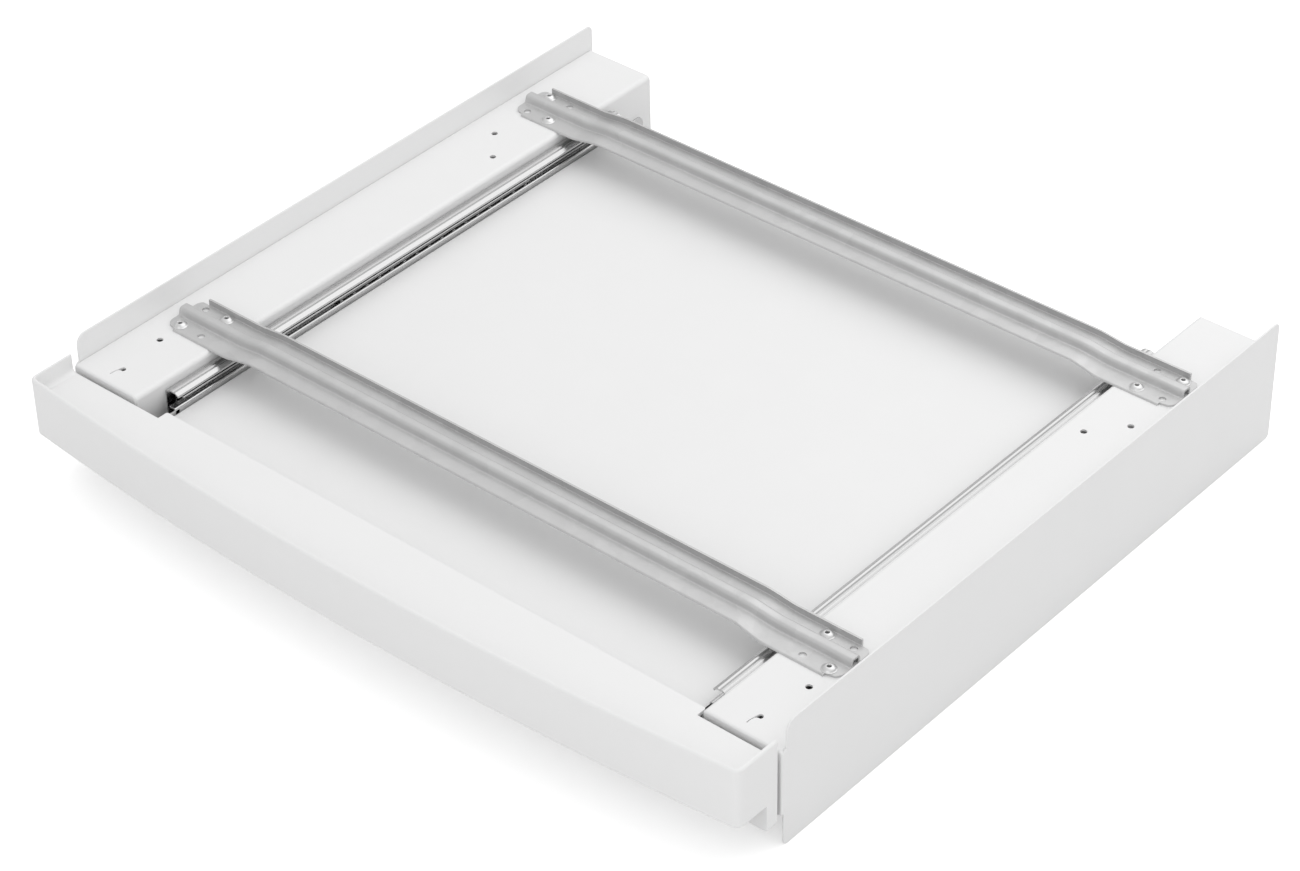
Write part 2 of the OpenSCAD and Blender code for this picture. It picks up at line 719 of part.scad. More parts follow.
module front_fascia() color(white_plastic) in_frame() difference() {
    union() {
        translate([0, 0, band_bottom]) linear_extrude(band_h) difference() {
            front_plan(0);
            front_plan_hollow();
        }
        translate([0, 0, ledge_under]) linear_extrude(fascia_t) ledge_plan();
        for (side = [-1, 1]) on_side(side)
            block([-fascia_x, beam_y, -beam_drop], [-beam_x, -front_gap, ledge_under]);
        block([ledge_left, ledge_reach - fascia_t, -shelf_drop], [ledge_right, ledge_reach, -ledge_drop]);
        ledge_ribs();
    }
    for (s = beam_screw_shares) translate([s * beam_x, fascia_screw_y, ledge_under - cut])
        cylinder(r = screw_r + fit_gap, h = cut + fascia_t * 0.7);
}

module front_plan_hollow() {
    front_plan(fascia_t);
    translate([-beam_x, -front_gap - cut]) square([2 * beam_x, 2 * cut]);
}

// Screws: the head lies on the sheet at the origin and the thread runs down from it

module screw(length) difference() {
    union() {
        translate([0, 0, -length]) cylinder(r = screw_r, h = length + screw_head_h / 2);
        cylinder(r = screw_head_r, h = screw_head_h);
    }
    translate([0, 0, screw_head_h / 2]) for (turn = [0, 90]) rotate(turn)
        translate([-screw_head_r / 2, -screw_head_h / 6, 0]) cube([screw_head_r, screw_head_h / 3, screw_head_h]);
}

module tray_screws() color(bright_steel) in_frame() for (side = [-1, 1]) on_side(side)
    for (s = rail_screw_shares) translate([-shelf_x + shelf_t, rail_screw_y(s), tray_screw_z])
        rotate([0, 90, 0]) screw(shelf_t + 2 * rail_t);

module beam_screws() color(bright_steel) in_frame() for (s = beam_screw_shares)
    translate([s * shelf_x, beam_y, tray_screw_z]) rotate([90, 0, 0]) screw(beam_t + 3 * shelf_t);

module fascia_screws() color(bright_steel) in_frame() for (s = beam_screw_shares)
    translate([s * beam_x, fascia_screw_y, ledge_under - beam_t]) rotate([180, 0, 0])
        screw(beam_t + fascia_t * 0.6);

left_side_plate();
right_side_plate();
left_channel();
right_channel();
front_brace();
rear_brace();
brace_rivets();
left_outer_rail();
right_outer_rail();
rail_rivets();
left_rail_buffer();
right_rail_buffer();
left_middle_rail();
right_middle_rail();
left_inner_rail();
right_inner_rail();
left_outer_cage();
right_outer_cage();
left_inner_cage();
right_inner_cage();
left_outer_balls();
right_outer_balls();
left_inner_balls();
right_inner_balls();
shelf_tray();
front_beam();
front_fascia();
tray_screws();
beam_screws();
fascia_screws();
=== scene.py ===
"""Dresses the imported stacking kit: painted channels, zinc braces, ball slides, a shelf and its bowed front.

Lengths are in millimetres, as in the part's source: X from the middle, Y back from the front plane, which is
just before the channels, and Z up from the channels' tops. Kit.place turns them into the frame's metres.
"""
import itertools
import json
import logging
import math
from dataclasses import dataclass
from enum import Enum
from typing import Callable, Optional, Sequence

import bmesh
import bpy
import numpy as np
from mathutils import Matrix, Vector

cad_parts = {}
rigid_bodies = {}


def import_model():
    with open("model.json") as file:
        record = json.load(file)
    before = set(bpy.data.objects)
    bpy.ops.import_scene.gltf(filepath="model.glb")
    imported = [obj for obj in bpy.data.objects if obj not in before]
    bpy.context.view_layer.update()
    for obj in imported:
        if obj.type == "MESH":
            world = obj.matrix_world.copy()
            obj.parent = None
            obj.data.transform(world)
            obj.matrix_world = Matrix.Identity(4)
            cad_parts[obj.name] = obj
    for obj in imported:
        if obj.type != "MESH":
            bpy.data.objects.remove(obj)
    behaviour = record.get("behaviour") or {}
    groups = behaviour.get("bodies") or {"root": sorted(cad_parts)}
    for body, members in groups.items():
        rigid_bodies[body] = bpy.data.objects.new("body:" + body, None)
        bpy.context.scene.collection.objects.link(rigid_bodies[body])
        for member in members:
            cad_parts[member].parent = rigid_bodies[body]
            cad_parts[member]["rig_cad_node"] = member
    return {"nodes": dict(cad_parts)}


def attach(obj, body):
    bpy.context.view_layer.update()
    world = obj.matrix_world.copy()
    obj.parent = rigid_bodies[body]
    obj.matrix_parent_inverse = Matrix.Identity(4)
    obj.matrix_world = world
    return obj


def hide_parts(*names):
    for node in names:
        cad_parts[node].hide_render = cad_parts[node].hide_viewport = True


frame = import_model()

LOG = logging.getLogger("stacking_kit")
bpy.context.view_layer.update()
Points = np.ndarray
Colour = tuple[float, float, float]


class Side(Enum):
    LEFT = -1
    RIGHT = 1

    @property
    def word(self) -> str:
        """The side's name as the nodes have it."""
        return self.name.lower()


@dataclass(frozen=True)
class Kit:
    """The sizes that the pieces are drawn from, in millimetres and under the names of the part's source."""

    frame_w: float = 600.0
    frame_d: float = 517.5
    ear_h: float = 20.0
    lip_h: float = 23.0
    plate_t: float = 1.5
    plate_setback: float = 3.4
    ear_setback: float = 6.0
    ear_r: float = 8.0
    plate_r: float = 3.5
    box_h: float = 51.0
    channel_w: float = 58.5
    sheet_t: float = 1.5
    bend_r: float = 3.5
    foot_w: float = 26.0
    weld_h: float = 16.0
    channel_back: float = 3.2
    spare_r: float = 2.3
    spare_front_y: float = 56.6
    spare_rear_y: float = 361.4
    front_brace_y: float = 68.7
    rear_brace_y: float = 413.5
    hole_from_side: float = 24.5
    hole_dx: float = 20.0
    hole_dy: float = 23.5
    hole_y: float = 6.7
    hole_r: float = 2.5
    slide_d: float = 12.7
    front_reach: float = 51.8
    front_gap: float = 1.6
    shelf_drop: float = 18.8

    @property
    def half(self) -> float:
        """Half the overall width."""
        return self.frame_w / 2

    @property
    def web_x(self) -> float:
        """Distance of a channel's web from the middle."""
        return self.half - self.plate_t - self.channel_w

    @property
    def shelf_x(self) -> float:
        """Half the shelf's width."""
        return self.web_x - self.slide_d

    @property
    def top_z(self) -> float:
        """Height of the channels' tops above the lips' lower edges."""
        return self.box_h + self.lip_h

    @property
    def mid_y(self) -> float:
        """Distance of the frame's origin from the front plane."""
        return (self.frame_d - self.front_reach) / 2

    @property
    def channel_rear_y(self) -> float:
        """Where the channels end at the back."""
        return self.frame_d - self.channel_back

    @property
    def hole_x(self) -> float:
        """Distance of the outer column of holes from the middle."""
        return self.half - self.hole_from_side

    def place(self, points: Points) -> Points:
        """Turns drawn millimetres into the frame's metres.

        Args:
            points: an array whose last axis is X, Y, Z.

        Returns:
            The same array in metres, with the frame's origin.
        """
        return (np.asarray(points, float) - np.array([0.0, self.mid_y, -self.top_z])) / 1000.0


KIT = Kit()


# Outlines


def arc(centre: Sequence[float], radius: float, start: float, end: float, steps: int) -> Points:
    """Points on a circle: centre + radius * (cos t, sin t) for t from start to end in degrees.

    Args:
        centre: the circle's centre.
        radius: its radius.
        start: the first angle in degrees.
        end: the last angle in degrees.
        steps: how many points.

    Returns:
        An array of steps rows and two columns.
    """
    t = np.radians(np.linspace(start, end, steps))
    return np.column_stack((centre[0] + radius * np.cos(t), centre[1] + radius * np.sin(t)))


def bent_path(corners: Sequence[Sequence[float]], radii: Sequence[float], steps: int = 7,
              pitch: Optional[float] = None) -> Points:
    """A path of straight runs with a round bend at each inner corner.

    At a corner c between unit directions a and b that turn by w, the bend starts at c - a * r * tan(w / 2),
    ends at c + b * r * tan(w / 2), and between them it is a circle of radius r.

    Args:
        corners: the sharp corners, the two ends among them.
        radii: one bend radius for each inner corner.
        steps: how many points each bend has.
        pitch: the longest run between two points, or None for no such limit.

    Returns:
        An array of points, two columns.
    """
    c = np.asarray(corners, float)
    parts = [c[:1]]
    for i, r in enumerate(radii, start=1):
        a = (c[i] - c[i - 1]) / np.linalg.norm(c[i] - c[i - 1])
        b = (c[i + 1] - c[i]) / np.linalg.norm(c[i + 1] - c[i])
        turn = math.atan2(a[0] * b[1] - a[1] * b[0], float(a @ b))
        normal = np.array([-a[1], a[0]]) * math.copysign(1.0, turn)
        start = c[i] - a * r * math.tan(abs(turn) / 2)
        t = np.linspace(0.0, abs(turn), steps)[:, None]
        parts.append(start + a * r * np.sin(t) + normal * r * (1 - np.cos(t)))
    parts.append(c[-1:])
    path = np.vstack(parts)
    keep = np.r_[True, np.linalg.norm(np.diff(path, axis=0), axis=1) > 1e-6]
    path = path[keep]
    if pitch is None:
        return path
    lengths = np.linalg.norm(np.diff(path, axis=0), axis=1)
    counts = np.maximum(1, np.ceil(lengths / pitch).astype(int))
    along = np.r_[0.0, np.cumsum(lengths)]
    runs = [np.linspace(along[k], along[k + 1], n, endpoint=False) for k, n in enumerate(counts)]
    stops = np.r_[np.concatenate(runs), along[-1]]
    return np.column_stack((np.interp(stops, along, path[:, 0]), np.interp(stops, along, path[:, 1])))


def both_faces(path: Points, thickness: float) -> tuple[Points, Points]:
    """The two faces of a sheet whose middle follows a path: path +- normal * thickness / 2.

    Args:
        path: the middle of the sheet, two columns.
        thickness: the sheet's thickness.

    Returns:
        The face to the left of the path, and the face to its right.
    """
    tangent = np.gradient(path, axis=0)
    tangent /= np.linalg.norm(tangent, axis=1)[:, None]
    normal = np.column_stack((-tangent[:, 1], tangent[:, 0])) * thickness / 2
    return path + normal, path - normal


def round_loop(low: Sequence[float], high: Sequence[float], radius: float, steps: int = 7) -> Points:
    """A rectangle with four round corners, anticlockwise from the lower right corner.

    Args:
        low: the lowest corner.
        high: the highest corner.
        radius: the radius of its corners.
        steps: how many points each corner has.

    Returns:
        4 * steps points of a closed loop.
    """
    r = max(radius, 0.0)
    return np.vstack((
        arc((high[0] - r, low[1] + r), r, -90, 0, steps),
        arc((high[0] - r, high[1] - r), r, 0, 90, steps),
        arc((low[0] + r, high[1] - r), r, 90, 180, steps),
        arc((low[0] + r, low[1] + r), r, 180, 270, steps),
    ))


def bore(radius: float, low: float, high: float) -> Points:
    """Half the section of an upright cylinder between two heights, as Skin.turned takes it."""
    return np.array([[0.0, low], [radius, low], [radius, high], [0.0, high]])


def blurred_ramp(u: Points, blur: float = 0.16) -> Points:
    """A ramp from 0 to 1 with soft ends: the mean of clip(u + d, 0, 1) over d from -blur to blur."""
    shifts = np.linspace(-blur, blur, 9)
    return np.mean([np.clip(u + d, 0.0, 1.0) for d in shifts], axis=0)


# Meshes


class Skin:
    """Gathers patches of points and faces in drawn millimetres, and makes one object of them."""

    def __init__(self, name: str) -> None:
        """Starts an empty skin with the object's name.

        Args:
            name: the object's name.
        """
        self.name = name
        self.points: list[Points] = []
        self.faces: list[list[int]] = []
        self.count = 0

    def add(self, points: Points, faces: Sequence[Sequence[int]]) -> None:
        """Adds a patch.

        Args:
            points: the patch's points.
            faces: its faces, as places in points.
        """
        self.points.append(np.asarray(points, float).reshape(-1, 3))
        self.faces.extend([[int(k) + self.count for k in f] for f in faces])
        self.count += len(self.points[-1])

    def sheet(self, upper: Points, lower: Points) -> None:
        """Adds a closed sheet between two grids of the same shape, with a rim on its four sides.

        Args:
            upper: one face, rows by columns by three.
            lower: the other face.
        """
        rows, columns = upper.shape[:2]
        size = rows * columns
        top = grid_faces(rows, columns)
        edge = np.concatenate((
            np.arange(columns),
            np.arange(1, rows) * columns + columns - 1,
            (rows - 1) * columns + np.arange(columns - 2, -1, -1),
            np.arange(rows - 2, 0, -1) * columns,
        ))
        after = np.roll(edge, -1)
        rim = np.column_stack((edge, after, after + size, edge + size))
        self.add(np.concatenate((upper.reshape(-1, 3), lower.reshape(-1, 3))),
                 np.vstack((top, top[:, ::-1] + size, rim)))

    def shell(self, outer: Points, inner: Points, rim_row: int, lid_row: int) -> None:
        """Adds a closed sheet between two stacks of loops, with a rim at one end and lids at the other.

        Args:
            outer: the outer face's loops, loops by points by three.
            inner: the inner face's loops.
            rim_row: the place of the loops that the rim joins.
            lid_row: the place of the loops that the lids close.
        """
        rows, columns = outer.shape[:2]
        size = rows * columns
        faces = grid_faces(rows, columns, close_columns=True)
        joined, lid = np.arange(size).reshape(rows, columns)[[rim_row, lid_row]]
        after = np.roll(joined, -1)
        rim = np.column_stack((joined, after, after + size, joined + size))
        walls = np.vstack((faces, faces[:, ::-1] + size, rim)).tolist()
        self.add(np.concatenate((outer.reshape(-1, 3), inner.reshape(-1, 3))),
                 walls + [lid.tolist(), (lid[::-1] + size).tolist()])

    def bar(self, outline: Points, stations: Points, axis: int) -> None:
        """Adds a closed outline carried straight along an axis, with a lid at each end.

        Args:
            outline: a closed loop of the two other coordinates, in X, Y, Z order.
            stations: places along the axis.
            axis: 0, 1 or 2 for X, Y or Z.
        """
        n, m = len(stations), len(outline)
        points = np.zeros((n, m, 3))
        others = [k for k in range(3) if k != axis]
        points[:, :, others[0]] = outline[None, :, 0]
        points[:, :, others[1]] = outline[None, :, 1]
        points[:, :, axis] = np.asarray(stations, float)[:, None]
        faces = grid_faces(n, m, close_columns=True).tolist()
        faces.append(list(range(m)))
        faces.append(list(range((n - 1) * m, n * m))[::-1])
        self.add(points, faces)

    def turned(self, profile: Points, centre: Sequence[float], steps: int = 48) -> None:
        """Adds a profile turned round a vertical axis: (r, z) becomes (r cos t, r sin t, z).

        Args:
            profile: distance from the axis and height, from the axis back to the axis.
            centre: where the axis stands, X, Y and Z.
            steps: how many points go round.
        """
        t = np.linspace(0.0, 2 * math.pi, steps, endpoint=False)
        ring = profile[1:-1]
        points = np.stack((ring[:, 0, None] * np.cos(t), ring[:, 0, None] * np.sin(t),
                           np.repeat(ring[:, 1, None], steps, axis=1)), axis=-1)
        poles = np.array([[0.0, 0.0, profile[0, 1]], [0.0, 0.0, profile[-1, 1]]])
        size = points.shape[0] * steps
        faces = grid_faces(points.shape[0], steps, close_columns=True).tolist()
        k = np.arange(steps)
        faces += np.column_stack((np.full(steps, size), k, (k + 1) % steps)).tolist()
        last = size - steps
        faces += np.column_stack((np.full(steps, size + 1), last + (k + 1) % steps, last + k)).tolist()
        self.add(np.concatenate((points.reshape(-1, 3), poles)) + np.asarray(centre, float), faces)

    def mirrored(self) -> None:
        """Turns the gathered patches into their mirror image in X."""
        for patch in self.points:
            patch[:, 0] *= -1.0

    def build(self) -> bpy.types.Object:
        """Makes the object, with its normals outwards.

        Returns:
            The new object, in the scene.
        """
        mesh = bpy.data.meshes.new(self.name)
        mesh.from_pydata(KIT.place(np.concatenate(self.points)).tolist(), [], self.faces)
        bm = bmesh.new()
        bm.from_mesh(mesh)
        bmesh.ops.remove_doubles(bm, verts=bm.verts[:], dist=1e-7)
        bmesh.ops.recalc_face_normals(bm, faces=bm.faces[:])
        bm.to_mesh(mesh)
        bm.free()
        obj = bpy.data.objects.new(self.name, mesh)
        bpy.context.scene.collection.objects.link(obj)
        return obj


def grid_faces(rows: int, columns: int, close_rows: bool = False, close_columns: bool = False) -> Points:
    """The four-sided faces of a grid: (i, j), (i + 1, j), (i + 1, j + 1), (i, j + 1).

    Args:
        rows: how many rows of points.
        columns: how many columns of points.
        close_rows: whether the last row joins the first.
        close_columns: whether the last column joins the first.

    Returns:
        An array of faces, four columns.
    """
    a, b = np.meshgrid(np.arange(rows if close_rows else rows - 1),
                       np.arange(columns if close_columns else columns - 1), indexing="ij")
    a, b = a.ravel(), b.ravel()
    c, d = (a + 1) % rows, (b + 1) % columns
    return np.column_stack((a * columns + b, c * columns + b, c * columns + d, a * columns + d))


def settle(obj: bpy.types.Object) -> None:
    """Puts the result of an object's modifiers into its mesh and takes the modifiers off.

    Args:
        obj: the object.
    """
    graph = bpy.context.evaluated_depsgraph_get()
    graph.update()
    mesh = bpy.data.meshes.new_from_object(obj.evaluated_get(graph))
    obj.modifiers.clear()
    obj.data = mesh


def pierce(obj: bpy.types.Object, cutters: Skin) -> None:
    """Cuts closed shapes out of an object.

    Args:
        obj: the object to cut.
        cutters: the shapes to take away.
    """
    tool = cutters.build()
    cut = obj.modifiers.new("openings", "BOOLEAN")
    cut.operation = "DIFFERENCE"
    cut.solver = "EXACT"
    cut.object = tool
    settle(obj)
    bpy.data.objects.remove(tool)


def soften(obj: bpy.types.Object, width: float, segments: int = 2, limit: float = 50.0,
           keep: Optional[Callable[[Points], Points]] = None) -> None:
    """Rounds the sharp edges of an object, and shades the rest smoothly.

    Args:
        obj: the object.
        width: the width of the rounding in millimetres.
        segments: how many faces it has.
        limit: the angle in degrees from which an edge is sharp.
        keep: says for the middle of each edge, in metres, whether it stays sharp.
    """
    mesh = obj.data
    mesh.shade_smooth()
    mesh.set_sharp_from_angle(angle=math.radians(limit))
    sharp = np.zeros(len(mesh.edges), bool)
    if "sharp_edge" in mesh.attributes:
        mesh.attributes["sharp_edge"].data.foreach_get("value", sharp)
    if keep is not None:
        ends = np.zeros(len(mesh.edges) * 2, np.int32)
        mesh.edges.foreach_get("vertices", ends)
        places = np.zeros(len(mesh.vertices) * 3)
        mesh.vertices.foreach_get("co", places)
        middles = places.reshape(-1, 3)[ends.reshape(-1, 2)].mean(axis=1)
        sharp &= ~keep(middles)
    layer = "bevel_weight_edge"
    weight = mesh.attributes.get(layer) or mesh.attributes.new(layer, "FLOAT", "EDGE")
    weight.data.foreach_set("value", sharp.astype(np.float32))
    bevel = obj.modifiers.new("softened", "BEVEL")
    bevel.limit_method = "WEIGHT"
    bevel.width = width / 1000.0
    bevel.segments = segments
    bevel.use_clamp_overlap = True
    bevel.harden_normals = False
    settle(obj)
    even_normals(obj)


def even_normals(obj: bpy.types.Object, limit: float = 38.0) -> None:
    """Shades an object smoothly while its large flat faces stay flat.

    Args:
        obj: the object.
        limit: the angle in degrees from which an edge stays sharp.
    """
    obj.data.shade_smooth()
    obj.data.set_sharp_from_angle(angle=math.radians(limit))
    even = obj.modifiers.new("even_normals", "WEIGHTED_NORMAL")
    even.mode = "FACE_AREA"
    even.weight = 80
    even.keep_sharp = True
    settle(obj)


# Finishes

BUMP_DEPTH = 0.0004
LINE_STRETCH = 0.012
SPANGLE_NOISE = 0.45
PATTERN_RANGE = (0.25, 0.75)


class Grain(Enum):
    """The effects that the finishes use, each built once as a node group."""

    CLOUDS = "clouds"
    DRAWN_LINES = "drawn_lines"
    SPANGLE = "spangle"


def value_socket(group: bpy.types.NodeTree, name: str, way: str, start: float = 0.0) -> None:
    """Adds a named number to a node group.

    Args:
        group: the node group.
        name: the socket's name.
        way: INPUT or OUTPUT.
        start: the value it starts with.
    """
    socket = group.interface.new_socket(name=name, in_out=way, socket_type="NodeSocketFloat")
    socket.default_value = start


def give(node: bpy.types.Node, values: dict[str, object]) -> None:
    """Sets the inputs of a node by their names."""
    for name, value in values.items():
        node.inputs[name].default_value = value


def grain_group(grain: Grain) -> bpy.types.NodeTree:
    """The node group of an effect, made on first use.

    CLOUDS is fractal noise. DRAWN_LINES is noise stretched along Y, as on a rolled rail. SPANGLE is a cell
    pattern mixed with noise, as on dipped zinc. Each puts out Low + (High - Low) * pattern as Value, and the
    pattern as Height.

    Args:
        grain: which effect.

    Returns:
        The node group.
    """
    found = bpy.data.node_groups.get(grain.value)
    if found is not None:
        return found
    group = bpy.data.node_groups.new(grain.value, "ShaderNodeTree")
    for name, start in (("Scale", 100.0), ("Low", 0.0), ("High", 1.0)):
        value_socket(group, name, "INPUT", start=start)
    value_socket(group, "Value", "OUTPUT")
    value_socket(group, "Height", "OUTPUT")
    nodes, links = group.nodes, group.links
    given, out = nodes.new("NodeGroupInput"), nodes.new("NodeGroupOutput")
    place = nodes.new("ShaderNodeTexCoord")
    noise = nodes.new("ShaderNodeTexNoise")
    give(noise, {"Detail": 4.0})
    links.new(given.outputs["Scale"], noise.inputs["Scale"])
    pattern = noise.outputs["Fac"]
    if grain is Grain.DRAWN_LINES:
        stretch = nodes.new("ShaderNodeMapping")
        give(stretch, {"Scale": (1.0, LINE_STRETCH, 1.0)})
        links.new(place.outputs["Object"], stretch.inputs["Vector"])
        links.new(stretch.outputs["Vector"], noise.inputs["Vector"])
    else:
        links.new(place.outputs["Object"], noise.inputs["Vector"])
    if grain is Grain.SPANGLE:
        cells = nodes.new("ShaderNodeTexVoronoi")
        links.new(given.outputs["Scale"], cells.inputs["Scale"])
        links.new(place.outputs["Object"], cells.inputs["Vector"])
        grey = nodes.new("ShaderNodeRGBToBW")
        links.new(cells.outputs["Color"], grey.inputs["Color"])
        blend = nodes.new("ShaderNodeMix")
        give(blend, {"Factor": SPANGLE_NOISE})
        links.new(grey.outputs["Val"], blend.inputs["A"])
        links.new(pattern, blend.inputs["B"])
        pattern = blend.outputs["Result"]
    spread = nodes.new("ShaderNodeMapRange")
    give(spread, {"From Min": PATTERN_RANGE[0], "From Max": PATTERN_RANGE[1]})
    links.new(pattern, spread.inputs["Value"])
    links.new(given.outputs["Low"], spread.inputs["To Min"])
    links.new(given.outputs["High"], spread.inputs["To Max"])
    links.new(spread.outputs["Result"], out.inputs["Value"])
    links.new(pattern, out.inputs["Height"])
    return group


@dataclass(frozen=True)
class Finish:
    """A finish: its colour, its gloss and its grain, each varied a little over the surface."""

    name: str
    slot: str
    colour: Colour
    metallic: float = 0.0
    roughness: tuple[float, float] = (0.4, 0.5)
    colour_spread: float = 0.04
    tint: Grain = Grain.CLOUDS
    tint_scale: float = 60.0
    gloss: Grain = Grain.CLOUDS
    gloss_scale: float = 200.0
    bump: Grain = Grain.CLOUDS
    bump_scale: float = 900.0
    bump_strength: float = 0.05

    def material(self) -> bpy.types.Material:
        """The finish's material, made on first use.

        Returns:
            The material.
        """
        found = bpy.data.materials.get(self.name)
        if found is not None:
            return found
        material = bpy.data.materials.new(self.name)
        material.use_nodes = True
        tree = material.node_tree
        shader = tree.nodes["Principled BSDF"]
        give(shader, {"Metallic": self.metallic})
        tint = self._grain(tree, self.tint, self.tint_scale, 0.0, 1.0)
        # The colours of a Mix node are its inputs 6 and 7 and its output 2.
        mix = tree.nodes.new("ShaderNodeMix")
        mix.data_type = "RGBA"
        low = tuple(c * (1.0 - self.colour_spread) for c in self.colour)
        high = tuple(min(1.0, c * (1.0 + self.colour_spread)) for c in self.colour)
        mix.inputs[6].default_value = (*low, 1.0)
        mix.inputs[7].default_value = (*high, 1.0)
        tree.links.new(tint.outputs["Value"], mix.inputs[0])
        tree.links.new(mix.outputs[2], shader.inputs["Base Color"])
        gloss = self._grain(tree, self.gloss, self.gloss_scale, *self.roughness)
        tree.links.new(gloss.outputs["Value"], shader.inputs["Roughness"])
        relief = self._grain(tree, self.bump, self.bump_scale, 0.0, 1.0)
        bump = tree.nodes.new("ShaderNodeBump")
        give(bump, {"Strength": self.bump_strength, "Distance": BUMP_DEPTH})
        tree.links.new(relief.outputs["Height"], bump.inputs["Height"])
        tree.links.new(bump.outputs["Normal"], shader.inputs["Normal"])
        return material

    @staticmethod
    def _grain(tree: bpy.types.NodeTree, grain: Grain, scale: float, low: float,
               high: float) -> bpy.types.Node:
        """Places an effect's node group in a material.

        Args:
            tree: the material's nodes.
            grain: which effect.
            scale: its scale, per metre.
            low: the value where the pattern is darkest.
            high: the value where it is brightest.

        Returns:
            The group's node.
        """
        node = tree.nodes.new("ShaderNodeGroup")
        node.node_tree = grain_group(grain)
        give(node, {"Scale": scale, "Low": low, "High": high})
        return node

    def dress(self, obj: bpy.types.Object) -> None:
        """Gives the object this finish alone.

        Args:
            obj: the object.
        """
        obj.data.materials.clear()
        obj.data.materials.append(self.material())


WHITE_PAINT = Finish("white_powder_paint", "white_paint", (0.85, 0.85, 0.85), roughness=(0.34, 0.42),
                     colour_spread=0.006, tint_scale=25.0, bump_scale=1100.0, bump_strength=0.03)
WHITE_MOULDING = Finish("white_moulding", "white_plastic", (0.86, 0.86, 0.86), roughness=(0.32, 0.40),
                        colour_spread=0.005, tint_scale=18.0, bump_scale=1600.0, bump_strength=0.02)
DIPPED_ZINC = Finish("dipped_zinc", "galvanised_steel", (0.64, 0.64, 0.64), metallic=1.0,
                     roughness=(0.50, 0.60), colour_spread=0.03, tint=Grain.SPANGLE, tint_scale=90.0,
                     gloss=Grain.SPANGLE, gloss_scale=140.0, bump_scale=700.0, bump_strength=0.04)
BRIGHT_RAIL = Finish("bright_rail", "bright_steel", (0.58, 0.58, 0.58), metallic=1.0, roughness=(0.20, 0.30),
                     colour_spread=0.03, tint=Grain.DRAWN_LINES, tint_scale=900.0, gloss=Grain.DRAWN_LINES,
                     gloss_scale=1200.0, bump=Grain.DRAWN_LINES, bump_scale=1500.0, bump_strength=0.05)
CAGE_STEEL = Finish("cage_steel", "bright_steel", (0.42, 0.42, 0.42), metallic=1.0, roughness=(0.25, 0.38),
                    colour_spread=0.05, bump_scale=800.0, bump_strength=0.04)
BALL_STEEL = Finish("ball_steel", "bearing_steel", (0.70, 0.70, 0.70), metallic=1.0, roughness=(0.06, 0.14),
                    colour_spread=0.02, bump_scale=900.0, bump_strength=0.01)
RIVET_STEEL = Finish("rivet_steel", "fixing_steel", (0.74, 0.74, 0.74), metallic=1.0, roughness=(0.30, 0.42),
                     colour_spread=0.03, tint_scale=300.0, bump_scale=1800.0, bump_strength=0.06)
# The broken pins are real, but their near-black colour is painted shade: it stands in for the shade inside
# the rivets' hollows.
PIN_STEEL_PAINTED_SHADE = Finish("pin_steel", "fixing_steel", (0.10, 0.10, 0.10), metallic=1.0, roughness=(0.45, 0.6),
                   colour_spread=0.08, tint_scale=300.0, bump_scale=1500.0, bump_strength=0.1)
BLACK_RUBBER = Finish("black_rubber_finish", "black_rubber", (0.025, 0.025, 0.027), roughness=(0.65, 0.8),
                      colour_spread=0.2, tint_scale=300.0, bump_scale=1500.0, bump_strength=0.2)


def put(obj: bpy.types.Object, body: str, finish: Finish, *nodes: str) -> None:
    """Dresses a finished piece, makes it ride on a body and lets it stand for CAD nodes.

    Args:
        obj: the piece.
        body: the body it moves with.
        finish: its finish.
        nodes: the CAD nodes that it stands for.
    """
    finish.dress(obj)
    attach(obj, body)
    if nodes:
        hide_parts(*nodes)
    LOG.info("%s: %d faces, rides on %s", obj.name, len(obj.data.polygons), body)


def dress_node(name: str, finish: Finish) -> None:
    """Gives a CAD node a finish, and leaves its shape as it is."""
    finish.dress(frame["nodes"][name])
    LOG.info("%s: dressed as %s", name, finish.name)


# The frame


@dataclass
class SidePlates:
    """The two flat side plates, with an ear above the channels and a lip below them."""

    edge: float = 0.4
    rear_r: float = 5.0

    def outline(self) -> Points:
        """The plate seen from its side, Y and Z, anticlockwise from the lower front corner.

        Returns:
            The outline's points, Y and Z.
        """
        k = KIT
        step = k.ear_setback - k.plate_setback
        return np.vstack((
            arc((k.plate_setback + k.plate_r, -k.top_z + k.plate_r), k.plate_r, 180, 270, 7),
            arc((k.frame_d - k.plate_r, -k.top_z + k.plate_r), k.plate_r, 270, 360, 7),
            arc((k.frame_d - self.rear_r, k.ear_h - self.rear_r), self.rear_r, 0, 90, 9),
            arc((k.ear_setback + k.ear_r, k.ear_h - k.ear_r), k.ear_r, 90, 180, 13),
            [[k.ear_setback, 0.0]],
            arc((k.plate_setback + step, -step), step, 90, 180, 7)[1:],
        ))

    def build(self, side: Side) -> None:
        """Builds one plate.

        Args:
            side: which side it is on.
        """
        skin = Skin(f"{side.word}_plate_skin")
        skin.bar(self.outline(), np.array([-KIT.half, -KIT.half + KIT.plate_t]), axis=0)
        if side is Side.RIGHT:
            skin.mirrored()
        plate = skin.build()
        soften(plate, self.edge, 3)
        put(plate, "frame", WHITE_PAINT, f"{side.word}_side_plate")


